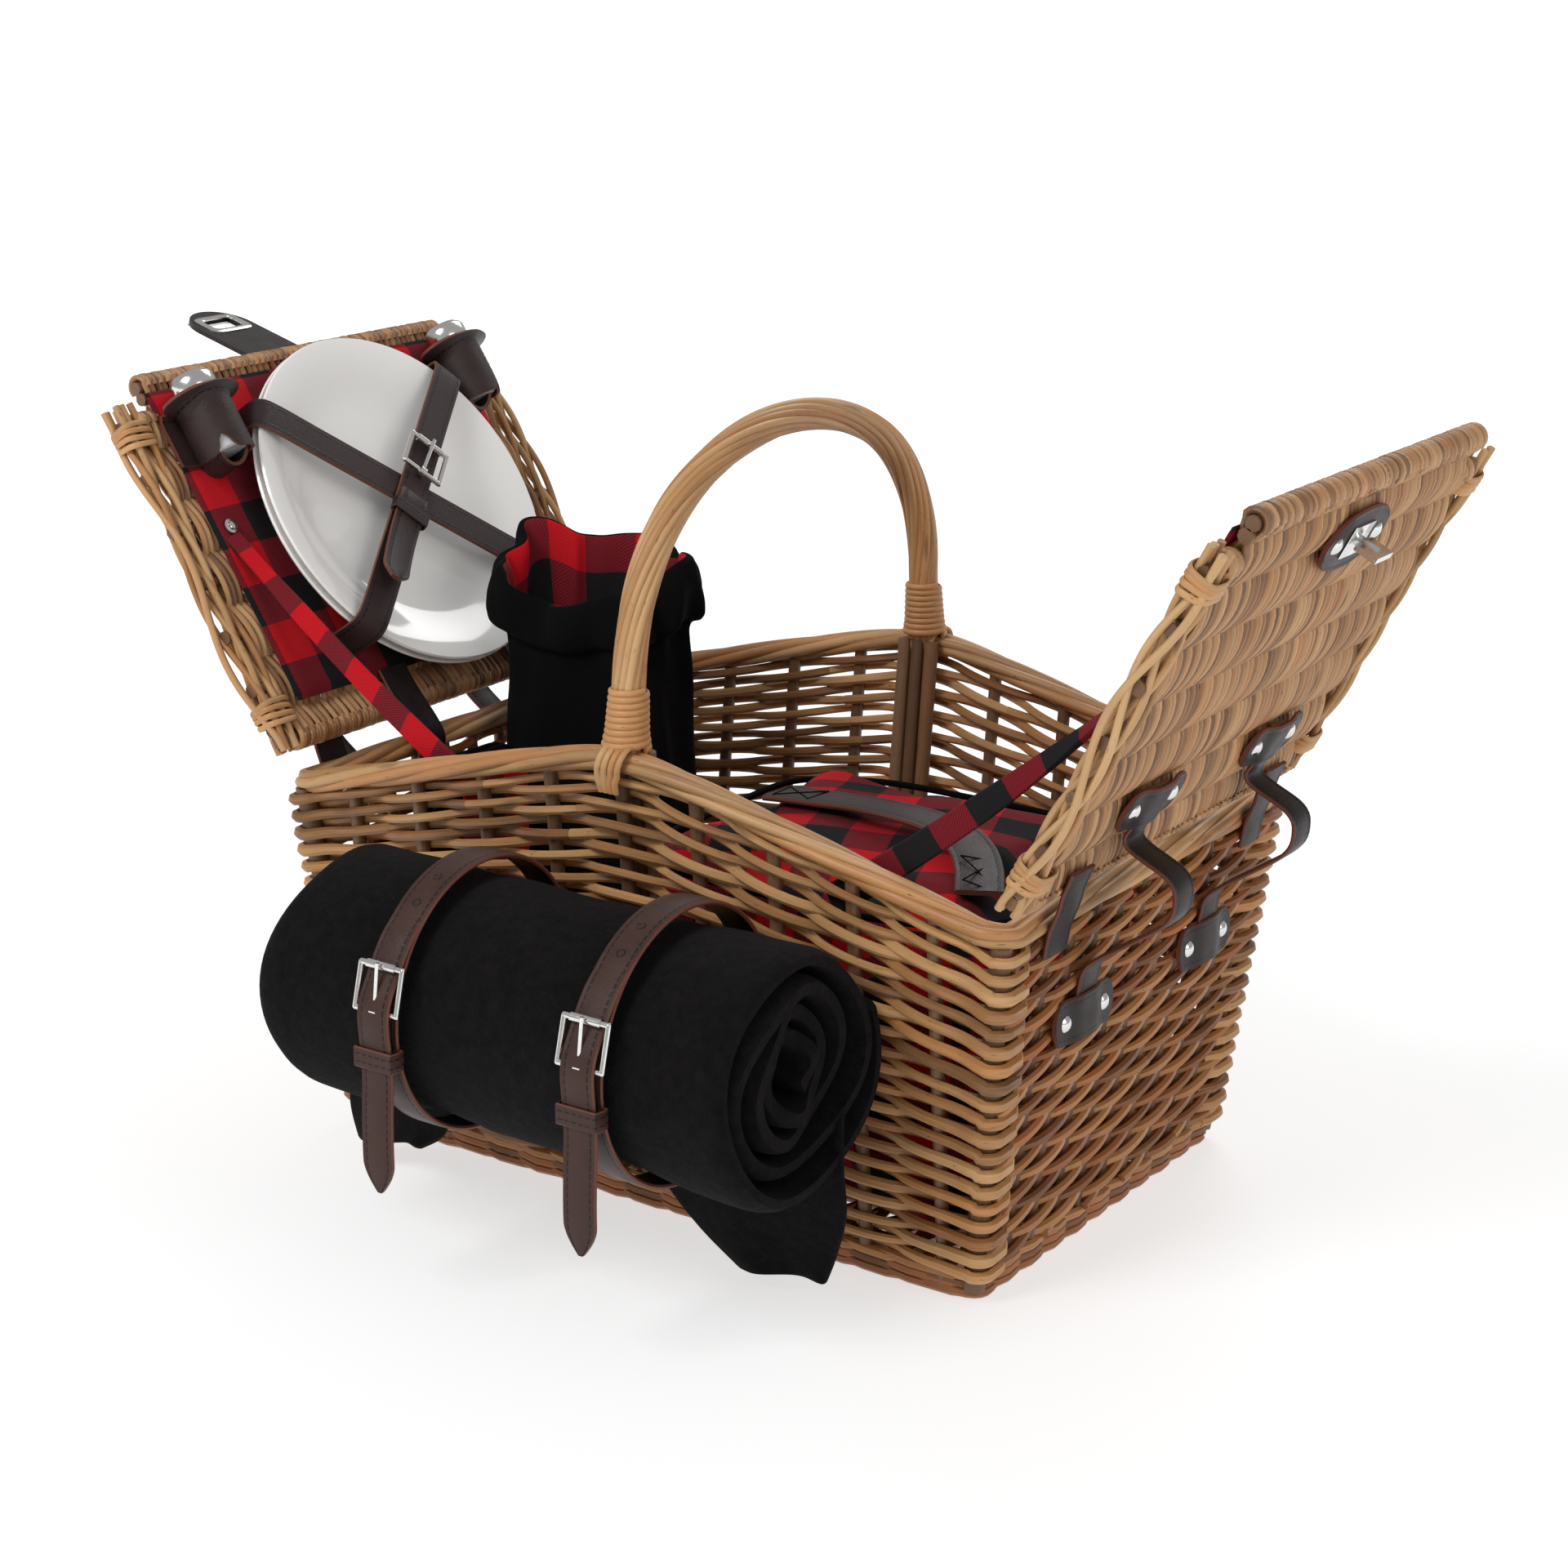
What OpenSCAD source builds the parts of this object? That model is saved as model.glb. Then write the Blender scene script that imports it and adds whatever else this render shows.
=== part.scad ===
// Wicker picnic basket with two end-hinged lids, a bent handle, table ware and a rolled blanket.
// Origin: centre of the base underside. X runs along the length, Y to the back, Z up. Lids are drawn open.

/* [Basket] */
// Length of the base
base_l = 408; // [340:1:480]
// Width of the base
base_w = 260; // [200:1:320]
// Height of the rim at both ends
end_h = 200; // [160:1:240]
// Height of the rim in the middle
mid_h = 252; // [210:1:300]
// Thickness of the woven walls
wall_t = 14; // [10:0.5:18]
// Outward lean of the long walls in degrees
lean_side = 5.43; // [2:0.01:8]
// Outward lean of the end walls in degrees
lean_end = 5.97; // [2:0.01:8]
// Thickness of the base
base_t = 9; // [6:0.5:14]
// Diameter of each rim rod
rim_d = 7; // [5:0.5:7]
// Half length of the flat ridge at the middle of the rim
ridge_half = 30; // [20:1:40]
// Diameter of the upright stakes in the walls
stake_d = 8; // [6:0.5:9]

/* [Lids] */
// Distance of each hinge line from the middle
hinge_x = 222; // [180:1:250]
// Height of the hinge lines
hinge_z = 211.5; // [170:0.5:250]
// Opening angle of the left lid from level
left_open = 124; // [100:1:130]
// Opening angle of the right lid from level
right_open = 118; // [100:1:130]
// Length of the wide part of a lid from its hinge line
lid_l = 213; // [180:1:214]
// Length of a lid to the end of the narrow tongue of weave
lid_tip = 226; // [200:1:227]
// Width of the wide part
lid_w = 300; // [250:1:306]
// Width of the narrow part between the handle feet
lid_tip_w = 250; // [200:1:252]
// Thickness of the woven lid
lid_t = 12; // [10:0.5:13]
// Thickness of the plaid lining
lining_t = 1.5; // [1:0.5:3]

/* [Handle] */
// Diameter of the bent bundle
handle_d = 16; // [12:0.5:17]
// Outer diameter of the lashing round each foot
wrap_d = 20; // [19:0.5:22]

/* [Table ware] */
// Diameter of a plate
plate_d = 203.2; // [180:0.1:204]
// Distance of the plates' centre from the hinge line
plate_u = 115; // [110:1:116]
// Diameter of a shaker
shaker_d = 26; // [22:1:28]
// Distance of the shakers from the lid's middle line
shaker_y = 107; // [105:0.5:112]

/* [Leather] */
// Thickness of the leather
leather_t = 2.5; // [1.5:0.5:3]
// Length of a riveted tab
tab_l = 57; // [45:1:65]
// Width of a riveted tab
tab_w = 24; // [18:1:28]
// Distance between a tab's two rivets
rivet_gap = 38; // [30:1:42]
// Width of the straps round plates and blanket
strap_w = 20; // [18:1:26]

/* [Blanket and bags] */
// Diameter of the rolled blanket
roll_d = 134; // [110:1:136]
// Distance of the roll's axis in front of the middle
roll_y = 215; // [214:1:225]
// Height of the roll's axis
roll_z = 140; // [110:1:150]
// Height of the cooler bag
cooler_h = 172; // [140:1:172]

/* [Hidden] */
clear = 0.3;
tan_side = tan(lean_side);
tan_end = tan(lean_end);
slope = (mid_h - end_h) / (base_l / 2 + end_h * tan_end - ridge_half);
wall_drop = -rim_d - 0.6;
top_end = corner_z(wall_drop, 0);
top_mid = mid_h + wall_drop;
z_in = corner_z(wall_drop, wall_t);
lid_s = lid_t / 2;
face = lid_s + lining_t;
tongue_z = lid_s + leather_t / 2;
plate_n = face + 0.5;
strap_n = plate_n + 23.6;
sleeve_n = face + shaker_d / 2 + 1.8;

bow_top = 398;
bow_r = 190;
side_r = 99.7;
bow_turn = 25;
leg_turn = 85;
leg_top = [0, -(bow_r - side_r) * sin(bow_turn) - side_r * sin(leg_turn),
    bow_top - bow_r + (bow_r - side_r) * cos(bow_turn) + side_r * cos(leg_turn)];
leg_foot = leg_top + [0, -cos(leg_turn), -sin(leg_turn)] * (leg_top[2] - 254) / sin(leg_turn);

function yo(z) = base_w / 2 + z * tan_side;
function xo(z) = base_l / 2 + z * tan_end;
function yi(z) = yo(z) - wall_t;
function xi(z) = xo(z) - wall_t;
// Height where the rim line, moved by h, meets the corner line set in by inset
function corner_z(h, inset) =
    (mid_h + h + (ridge_half - base_l / 2 + inset) * slope) / (1 + slope * tan_end);

// Solid between two matching outlines
module slab(a, b) {
    n = len(a);
    sides = [for (i = [0 : n - 1]) [i, (i + 1) % n, n + (i + 1) % n, n + i]];
    polyhedron(points = concat(a, b), faces = concat([[for (i = [n - 1 : -1 : 0]) i]],
        [[for (i = [0 : n - 1]) n + i]], sides));
}

// Round rod between two points
module rod(p, q, d) {
    v = q - p;
    l = norm(v);
    translate(p)
        rotate([0, acos(v[2] / l), atan2(v[1], v[0])])
            cylinder(d = d, h = l, $fn = 16);
}

function flip(p) = [-p[0], p[1], p[2]];
function unit(v) = v / norm(v);
function side_of(pts, i) = let (
    a = unit(pts[max(i, 1)] - pts[max(i, 1) - 1]),
    b = unit(pts[min(i + 1, len(pts) - 1)] - pts[min(i + 1, len(pts) - 1) - 1]),
    m = unit(a + b)) [-m[1], m[0]];

// Flat band that follows points in the X-Z plane, centred on y
module band(pts, t, w, y) {
    up = [for (i = [0 : len(pts) - 1]) pts[i] + side_of(pts, i) * t / 2];
    down = [for (i = [len(pts) - 1 : -1 : 0]) pts[i] - side_of(pts, i) * t / 2];
    translate([0, y + w / 2, 0])
        rotate([90, 0, 0])
            linear_extrude(w)
                polygon(concat(up, down));
}

module left_place() {
    translate([-hinge_x, 0, hinge_z])
        rotate([0, -left_open, 0])
            children();
}

module right_place() {
    translate([hinge_x, 0, hinge_z])
        mirror([1, 0, 0])
            rotate([0, -right_open, 0])
                children();
}

function lid_point(u, z, a) = [
    -hinge_x + u * cos(a) - z * sin(a),
    hinge_z + u * sin(a) + z * cos(a)];

module wall_long(front) {
    s = front ? -1 : 1;
    o = [[-xo(0), s * yo(0), 0], [xo(0), s * yo(0), 0], [xo(top_end), s * yo(top_end), top_end],
        [ridge_half, s * yo(top_mid), top_mid], [-ridge_half, s * yo(top_mid), top_mid],
        [-xo(top_end), s * yo(top_end), top_end]];
    i = [[-xi(0), s * yi(0), 0], [xi(0), s * yi(0), 0], [xi(z_in), s * yi(z_in), z_in],
        [ridge_half, s * yi(top_mid), top_mid], [-ridge_half, s * yi(top_mid), top_mid],
        [-xi(z_in), s * yi(z_in), z_in]];
    if (front)
        slab(i, o);
    else
        slab(o, i);
}

module wall_end(left) {
    s = left ? -1 : 1;
    o = [[s * xo(0), -yo(0), 0], [s * xo(0), yo(0), 0], [s * xo(top_end), yo(top_end), top_end],
        [s * xo(top_end), -yo(top_end), top_end]];
    i = [[s * xi(0), -yi(0), 0], [s * xi(0), yi(0), 0], [s * xi(z_in), yi(z_in), z_in],
        [s * xi(z_in), -yi(z_in), z_in]];
    if (left)
        slab(i, o);
    else
        slab(o, i);
}

long_x = [-168, -122, -76, 76, 122, 168];
end_y = [-88, -30, 30, 88];

module long_stakes(s, d) {
    for (x = long_x) {
        z = top_mid - (abs(x) - ridge_half) * slope - 14;
        rod([x, s * (yo(4) - wall_t / 2), 4], [x, s * (yo(z) - wall_t / 2), z], d);
    }
}

module end_stakes(s, d) {
    for (y = end_y)
        rod([s * (xo(4) - wall_t / 2), y, 4], [s * (xo(178) - wall_t / 2), y, 178], d);
}

module base_panel() color([0.66, 0.49, 0.30])
    translate([-xi(0) + clear, -yi(0) + clear, 0])
        cube([2 * xi(0) - 2 * clear, 2 * yi(0) - 2 * clear, base_t]);

module front_wall() color([0.72, 0.55, 0.34])
    difference() {
        wall_long(true);
        long_stakes(-1, stake_d + 0.2);
    }

module back_wall() color([0.72, 0.55, 0.34])
    difference() {
        wall_long(false);
        long_stakes(1, stake_d + 0.2);
    }

module left_end_wall() color([0.65, 0.44, 0.26])
    difference() {
        wall_end(true);
        end_stakes(-1, stake_d + 0.2);
    }

module right_end_wall() color([0.65, 0.44, 0.26])
    difference() {
        wall_end(false);
        end_stakes(1, stake_d + 0.2);
    }

module wall_stakes() color([0.55, 0.40, 0.25]) {
    long_stakes(-1, stake_d);
    long_stakes(1, stake_d);
    end_stakes(-1, stake_d);
    end_stakes(1, stake_d);
}

// Border along a long wall: two slopes and the flat ridge between them
module border_long(s) {
    function edge(h, inset) = let (z = corner_z(wall_drop + h, inset)) [xo(z) - inset, s * (yo(z) - inset), z];
    function ridge(h, inset, x) = let (z = top_mid + h - max(x - ridge_half, 0) * slope) [x, s * (yo(z) - inset), z];
    function slope_face(inset, e) = [
        for (p = [ridge(0.1, inset, ridge_half + 0.1), edge(0.1, inset), edge(rim_d, inset),
            ridge(rim_d, inset, ridge_half + 0.1)]) [e * p[0], p[1], p[2]]];
    function ridge_face(inset) = [
        flip(ridge(0.1, inset, ridge_half)), ridge(0.1, inset, ridge_half),
        ridge(rim_d, inset, ridge_half), flip(ridge(rim_d, inset, ridge_half))];
    for (e = [-1, 1])
        if (e * s < 0)
            slab(slope_face(wall_t, e), slope_face(0, e));
        else
            slab(slope_face(0, e), slope_face(wall_t, e));
    if (s < 0)
        slab(ridge_face(wall_t), ridge_face(0));
    else
        slab(ridge_face(0), ridge_face(wall_t));
}

module rim_sides() color([0.78, 0.60, 0.38]) {
    border_long(-1);
    border_long(1);
}

module rim_ends() color([0.78, 0.60, 0.38])
    for (s = [-1, 1]) {
        low = [xo(top_end), yo(top_end), top_end + 0.1];
        deep = [xi(z_in), yi(z_in), z_in + 0.1];
        up = [0, 0, rim_d - 0.1];
        o = [[s * low[0], -low[1] + 0.1, low[2]], [s * low[0], low[1] - 0.1, low[2]],
            [s * deep[0], deep[1] - 0.1, deep[2]], [s * deep[0], -deep[1] + 0.1, deep[2]]];
        if (s > 0)
            slab(o, [for (p = o) p + up]);
        else
            slab([for (p = o) p + up], o);
    }

// Quarter of the bow: top arc, side arc and straight leg, towards -Y
module half_bow() {
    rotate([90, 0, 90]) {
        translate([0, bow_top - bow_r])
            rotate([0, 0, 90])
                rotate_extrude(angle = bow_turn, $fn = 96)
                    translate([bow_r, 0])
                        circle(d = handle_d, $fn = 20);
        translate([-(bow_r - side_r) * sin(bow_turn), bow_top - bow_r + (bow_r - side_r) * cos(bow_turn)])
            rotate([0, 0, 90 + bow_turn])
                rotate_extrude(angle = leg_turn - bow_turn, $fn = 96)
                    translate([side_r, 0])
                        circle(d = handle_d, $fn = 20);
    }
    rod(leg_top, leg_foot, handle_d);
}

module handle_arch() color([0.74, 0.56, 0.35]) {
    half_bow();
    mirror([0, 1, 0])
        half_bow();
}

module wrap(y, tilt)
    translate([0, y, 256.5])
        rotate([tilt, 0, 0])
            for (i = [0 : 4])
                translate([0, 0, 2.2 + i * 5])
                    rotate_extrude($fn = 20)
                        translate([(wrap_d + handle_d) / 4 + 0.7, 0])
                            circle(r = (wrap_d - handle_d) / 4 + 0.5, $fn = 14);

module handle_wrap_front() color([0.80, 0.64, 0.42])
    wrap(leg_foot[1] + 0.3, leg_turn - 90);

module handle_wrap_back() color([0.80, 0.64, 0.42])
    wrap(-leg_foot[1] - 0.3, 90 - leg_turn);

module handle_core_sticks() color([0.60, 0.44, 0.27])
    for (s = [-1, 1])
        for (i = [-1 : 1])
            rod([i * 8.6, s * (yi(30) - 4.5), 30], [i * 8.6, s * (yi(250) - 4.5), 250], stake_d);

// Stadium-shaped leather tab lying on local z = 0, long way along Y
module tab(l, w) {
    translate([-w / 2, -l / 2 + 6, 0])
        cube([w, l - 12, leather_t]);
    translate([-w / 2 + 6, -l / 2, 0])
        cube([w - 12, l, leather_t]);
    for (x = [-w / 2 + 6, w / 2 - 6])
        for (y = [-l / 2 + 6, l / 2 - 6])
            translate([x, y, 0])
                cylinder(r = 6, h = leather_t, $fn = 20);
}

// Domed rivet head standing on local z = 0
module rivet()
    difference() {
        translate([0, 0, -3])
            sphere(r = 5.5, $fn = 20);
        translate([-8, -8, -16])
            cube([16, 16, 16]);
    }

module rivet_pair()
    for (y = [-rivet_gap / 2, rivet_gap / 2])
        translate([0, y, leather_t + 0.1])
            rivet();

module on_end_wall(s, y, z)
    mirror([s < 0 ? 1 : 0, 0, 0])
        translate([xo(z), y, z])
            rotate([0, 90 + lean_end, 0])
                translate([0, 0, clear])
                    children();

tab_y = [-65, 65];
tab_z = 138;

module wall_tabs() color([0.20, 0.14, 0.13])
    for (s = [-1, 1])
        for (y = tab_y)
            on_end_wall(s, y, tab_z)
                tab(tab_l, tab_w);

module wall_tab_rivets() color([0.80, 0.80, 0.80])
    for (s = [-1, 1])
        for (y = tab_y)
            on_end_wall(s, y, tab_z)
                rivet_pair();

function outer_path(a) = [
    lid_point(36, lid_s + 2.6, a),
    lid_point(26, lid_s + 5, a),
    [-268, 219],
    [-272, 210],
    [-269, 198],
    [-246, 180],
    [-xo(166) - 3, 166],
    [-xo(152.5) - 2, 152.5]];

module outer_straps(a)
    for (y = tab_y)
        band(outer_path(a), 2, 20, y);

module outer_straps_left() color([0.22, 0.15, 0.14])
    outer_straps(left_open);

module outer_straps_right() color([0.22, 0.15, 0.14])
    mirror([1, 0, 0])
        outer_straps(right_open);

function loop_path(a) = [
    lid_point(20, lid_s + 1.8, a),
    lid_point(8, lid_s + 3, a),
    [-232, 206],
    [-xo(190) - 3, 194],
    [-xo(180) - 1.8, 181]];

loop_y = [-104, 104];

module hinge_loops(a)
    for (y = loop_y)
        band(loop_path(a), 2, 22, y);

module hinge_loops_left() color([0.16, 0.13, 0.13])
    hinge_loops(left_open);

module hinge_loops_right() color([0.16, 0.13, 0.13])
    mirror([1, 0, 0])
        hinge_loops(right_open);

// Plaid band from the lid down to the inside of the front wall
support_w = 16;
support_t = 2.4;

module support_strap(a, u, foot_x, foot_z) {
    head = lid_point(u, -face - 0.6, a);
    foot = [foot_x, foot_z];
    across = [cos(a), sin(a)] * support_w * 0.4;
    run = unit(foot - head);
    drop = [-run[1], run[0]] * support_w / 2;
    inner = yi(foot_z) - 2.2;
    swing = atan2(inner - 119, foot_x - head[0]);
    translate([foot_x, -inner, 0])
        rotate([0, 0, -swing])
            translate([-foot_x, support_t / 2, 0])
                rotate([90, 0, 0])
                    linear_extrude(support_t)
                        polygon([head - across, foot - drop, foot + drop, head + across]);
}

module support_strap_left() color([0.55, 0.08, 0.10])
    support_strap(left_open, 123, -97, 206);

module support_strap_right() color([0.55, 0.08, 0.10])
    mirror([1, 0, 0])
        support_strap(right_open, 118, -118, 194);

roll_x = [-128, 158];

module blanket_roll() color([0.06, 0.06, 0.07]) {
    translate([roll_x[0], -roll_y, roll_z])
        rotate([0, 90, 0])
            cylinder(d = roll_d, h = roll_x[1] - roll_x[0], $fn = 48);
    translate([-176, -172, 6])
        cube([76, 9, 110]);
    translate([96, -172, 8])
        cube([56, 9, 110]);
    translate([66, -172, 8])
        cube([31, 9, 75]);
}

band_x = [-40, 82];
band_r = roll_d / 2 + clear;

keeper_t = 2.2;
tail = [62, 138];
keeper = [121, 133];

module blanket_straps() color([0.30, 0.18, 0.13])
    for (x = band_x) {
        front = -roll_y - band_r - 2 * leather_t;
        translate([x - strap_w / 2, -roll_y, roll_z])
            rotate([0, 90, 0])
                difference() {
                    cylinder(r = band_r + leather_t, h = strap_w, $fn = 48);
                    translate([0, 0, -1])
                        cylinder(r = band_r, h = strap_w + 2, $fn = 48);
                }
        translate([x - strap_w / 2, front - 0.2, tail[0]])
            cube([strap_w, leather_t, tail[1] - tail[0]]);
        translate([x - strap_w / 2 - keeper_t, front - keeper_t - 0.4, keeper[0]])
            cube([strap_w + 2 * keeper_t, keeper_t, keeper[1] - keeper[0]]);
        for (s = [-1, 1])
            translate([x + s * (strap_w / 2 + 1.3) - 0.9, front - keeper_t - 0.4, keeper[0]])
                cube([1.8, 8, keeper[1] - keeper[0]]);
    }

wire_d = 3;
roller_d = 4.4;
buckle_l = 22;

module buckle_frame() {
    half = strap_w / 2 + 2.7;
    for (x = [0, buckle_l])
        rod([x, -half, 0], [x, half, 0], wire_d);
    for (s = [-1, 1]) {
        rod([0, s * half, 0], [buckle_l, s * half, 0], wire_d);
        for (x = [0, buckle_l])
            translate([x, s * half, 0])
                sphere(d = wire_d, $fn = 16);
    }
    rod([buckle_l, -half + 4, 0], [buckle_l, half - 4, 0], roller_d);
}

module buckle_prong() {
    rotate([90, 0, 0])
        difference() {
            cylinder(d = wire_d + 3, h = 4, center = true, $fn = 24);
            cylinder(d = wire_d + 0.12, h = 5, center = true, $fn = 24);
        }
    rod([2.2, 0, 1.2], [buckle_l + 1.6, 0, 3.9], 2.2);
}

lift = 14.5;

// Places a buckle on the front of the blanket, pivot bar below
module on_roll(x)
    translate([x, -roll_y, roll_z])
        rotate([-lift, 0, 0])
            translate([0, -band_r - leather_t - 3.3, -8])
                rotate([0, 0, 90])
                    rotate([0, -90, 0])
                        children();

module blanket_buckles() color([0.75, 0.74, 0.72])
    for (x = band_x)
        on_roll(x)
            buckle_frame();

module blanket_prong_left() color([0.75, 0.74, 0.72])
    on_roll(band_x[0])
        buckle_prong();

module blanket_prong_right() color([0.75, 0.74, 0.72])
    on_roll(band_x[1])
        buckle_prong();

// Box with four round upright corners
module soft_box(x0, x1, y0, y1, z0, z1, r) {
    translate([x0 + r, y0, z0])
        cube([x1 - x0 - 2 * r, y1 - y0, z1 - z0]);
    translate([x0, y0 + r, z0])
        cube([x1 - x0, y1 - y0 - 2 * r, z1 - z0]);
    for (x = [x0 + r, x1 - r])
        for (y = [y0 + r, y1 - r])
            translate([x, y, z0])
                cylinder(r = r, h = z1 - z0, $fn = 24);
}

stand = base_t + clear;

module wine_pouch() color([0.08, 0.07, 0.08]) {
    soft_box(-189.8, -78, -14, 54, stand, 268, 26);
    soft_box(-200, -74, -20, 60, 268, 314, 28);
}

module napkins() color([0.60, 0.10, 0.12])
    soft_box(-186, -152, -84, -24, stand, 206, 8);

module cooler_bag() color([0.62, 0.09, 0.12])
    soft_box(-50, 184, -105, 105, stand, stand + cooler_h, 24);

module cooler_handle() color([0.30, 0.27, 0.28])
    band([[4, stand + cooler_h + 1.8], [40, stand + cooler_h + 1.8], [70, stand + cooler_h + 7],
        [110, stand + cooler_h + 7], [136, stand + cooler_h + 1.8], [172, stand + cooler_h + 1.8]], 3, 26, -20);

lid_stick_u = [9, 40, 72, 104, 136, 168, 199];

module lid_stick_rods(d)
    for (u = lid_stick_u)
        rod([u, -lid_w / 2 + 0.2, 0], [u, lid_w / 2 - 0.2, 0], d);

module lid_sticks() {
    lid_stick_rods(stake_d);
    rod([220, -lid_tip_w / 2 + 0.2, 0], [220, lid_tip_w / 2 - 0.2, 0], stake_d);
}

module lid_panel()
    difference() {
        union() {
            translate([3, -lid_w / 2, -lid_s])
                cube([lid_l - 3, lid_w, lid_t]);
            translate([lid_l - 1, -lid_tip_w / 2, -lid_s])
                cube([lid_tip - lid_l + 1, lid_tip_w, lid_t]);
        }
        for (u = lid_stick_u)
            rod([u, -lid_w / 2 - 1, 0], [u, lid_w / 2 + 1, 0], stake_d + 0.2);
        rod([220, -lid_tip_w / 2 - 1, 0], [220, lid_tip_w / 2 + 1, 0], stake_d + 0.2);
    }

// Cane lashing folded over the side edge
module lashing(u, s)
    difference() {
        translate([u - 7, s > 0 ? lid_w / 2 - 18 : -lid_w / 2 - 2.6, -lid_s - 2.4])
            cube([14, 20.6, lid_t + 4.8]);
        translate([u - 8, s > 0 ? lid_w / 2 - 19 : -lid_w / 2 - 0.2, -lid_s - 0.2])
            cube([16, 19.2, lid_t + 0.4]);
    }

module lid_lashings()
    for (u = [24, 192])
        for (s = [-1, 1])
            lashing(u, s);

module lid_lining()
    translate([26, -127, -face])
        cube([188, 254, lining_t - 0.2]);

module lid_tabs()
    for (y = tab_y)
        translate([50, y, lid_s + 0.2])
            tab(tab_l, tab_w);

module lid_tab_rivets()
    for (y = tab_y)
        translate([50, y, lid_s + 0.2])
            rivet_pair();

module left_lid_sticks() color([0.62, 0.46, 0.28])
    left_place()
        lid_sticks();

module left_lid_panel() color([0.80, 0.62, 0.40])
    left_place()
        lid_panel();

module left_lid_lashings() color([0.84, 0.68, 0.46])
    left_place()
        lid_lashings();

module left_lid_lining() color([0.70, 0.10, 0.13])
    left_place()
        lid_lining();

// Fixed half of the latch strap plus the two tabs
module left_lid_tabs() color([0.20, 0.14, 0.13])
    left_place() {
        lid_tabs();
        translate([194, -tongue_w / 2, lid_s + 0.2])
            cube([31.4, tongue_w, leather_t]);
    }

module left_lid_rivets() color([0.80, 0.80, 0.80])
    left_place() {
        lid_tab_rivets();
        for (y = [-15, 15])
            translate([208, y, lid_s + leather_t + 0.3])
                rivet();
    }

// Plate with its face towards local -Z
module plate()
    rotate([180, 0, 0])
        rotate_extrude($fn = 72)
            polygon([[0, 0], [58, 0], [64, 2.5], [82, 9], [plate_d / 2, 14.6], [plate_d / 2, 17.4],
                [82, 12.6], [62, 6.5], [56, 5], [0, 5]]);

module plate_back() color([0.95, 0.94, 0.90])
    left_place()
        translate([plate_u, 0, -plate_n])
            plate();

module plate_front() color([0.95, 0.94, 0.90])
    left_place()
        translate([plate_u, 0, -plate_n - 5.6])
            plate();

strap_r = plate_d / 2 + 2.5;

// Strap over the plates with a leg down to the lining at each end
module plate_strap(n, a)
    translate([plate_u, 0, 0])
        rotate([0, 0, a]) {
            translate([-strap_r - leather_t, -strap_w / 2, -n - leather_t])
                cube([2 * strap_r + 2 * leather_t, strap_w, leather_t]);
            for (s = [0, 1])
                mirror([s, 0, 0])
                    translate([strap_r, -strap_w / 2, -n - 0.5])
                        cube([leather_t, strap_w, n + 0.3 - face]);
        }

module plate_straps() color([0.22, 0.15, 0.14])
    left_place() {
        plate_strap(strap_n, -50);
        plate_strap(strap_n + leather_t, 50);
    }

module on_plates()
    left_place()
        translate([plate_u, 0, -strap_n - 2 * leather_t - 3.3])
            rotate([0, 0, 50])
                translate([14, 0, 0])
                    mirror([0, 0, 1])
                        children();

module plate_buckle() color([0.75, 0.74, 0.72])
    on_plates()
        buckle_frame();

module plate_prong() color([0.75, 0.74, 0.72])
    on_plates()
        buckle_prong();

// Sleeve sewn to the lining, closed at its lower end
module shaker_pouches() color([0.20, 0.14, 0.13])
    left_place()
        for (s = [-1, 1])
            translate([163.5, s * shaker_y, -sleeve_n])
                rotate([0, 90, 0])
                    difference() {
                        cylinder(d = shaker_d + 3, h = 34, $fn = 32);
                        translate([0, 0, 1.5])
                            cylinder(d = shaker_d + 0.6, h = 40, $fn = 32);
                    }

module shaker(s)
    left_place()
        translate([165.4, s * shaker_y, -sleeve_n])
            rotate([0, 90, 0])
                cylinder(d = shaker_d, h = 36, $fn = 32);

module shaker_cap(s)
    left_place()
        translate([201.6, s * shaker_y, -sleeve_n])
            rotate([0, 90, 0]) {
                cylinder(d = shaker_d, h = 10, $fn = 32);
                translate([0, 0, 10])
                    cylinder(d = shaker_d - 5, h = 2.4, $fn = 32);
            }

module salt_shaker() color([0.85, 0.85, 0.86])
    shaker(-1);

module salt_cap() color([0.80, 0.80, 0.80])
    shaker_cap(-1);

module pepper_shaker() color([0.85, 0.85, 0.86])
    shaker(1);

module pepper_cap() color([0.80, 0.80, 0.80])
    shaker_cap(1);

droop = 40;
hinge_u = 227;
slot_u = 45;
tongue_l = 64;
tongue_w = 42;

module tongue_place()
    left_place()
        translate([hinge_u, 0, tongue_z + 0.2])
            rotate([0, -droop, 0])
                children();

module latch_tongue() color([0.20, 0.14, 0.13])
    tongue_place()
        difference() {
            union() {
                rotate([90, 0, 0])
                    cylinder(d = leather_t, h = tongue_w, center = true, $fn = 16);
                translate([0, -tongue_w / 2, -leather_t / 2])
                    cube([tongue_l - tongue_w / 2, tongue_w, leather_t]);
                translate([tongue_l - tongue_w / 2, 0, -leather_t / 2])
                    cylinder(d = tongue_w, h = leather_t, $fn = 48);
            }
            translate([slot_u - 8, -12, -3])
                cube([16, 24, 6]);
        }

module latch_slot_plate() color([0.80, 0.80, 0.80])
    tongue_place()
        translate([slot_u, 0, leather_t / 2 + 0.1])
            difference() {
                translate([-12, -17, 0])
                    cube([24, 34, 1.4]);
                translate([-7, -11, -1])
                    cube([14, 22, 4]);
            }

module right_lid_sticks() color([0.62, 0.46, 0.28])
    right_place()
        lid_sticks();

module right_lid_panel() color([0.80, 0.62, 0.40])
    right_place()
        lid_panel();

module right_lid_lashings() color([0.84, 0.68, 0.46])
    right_place()
        lid_lashings();

module right_lid_lining() color([0.70, 0.10, 0.13])
    right_place()
        lid_lining();

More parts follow.
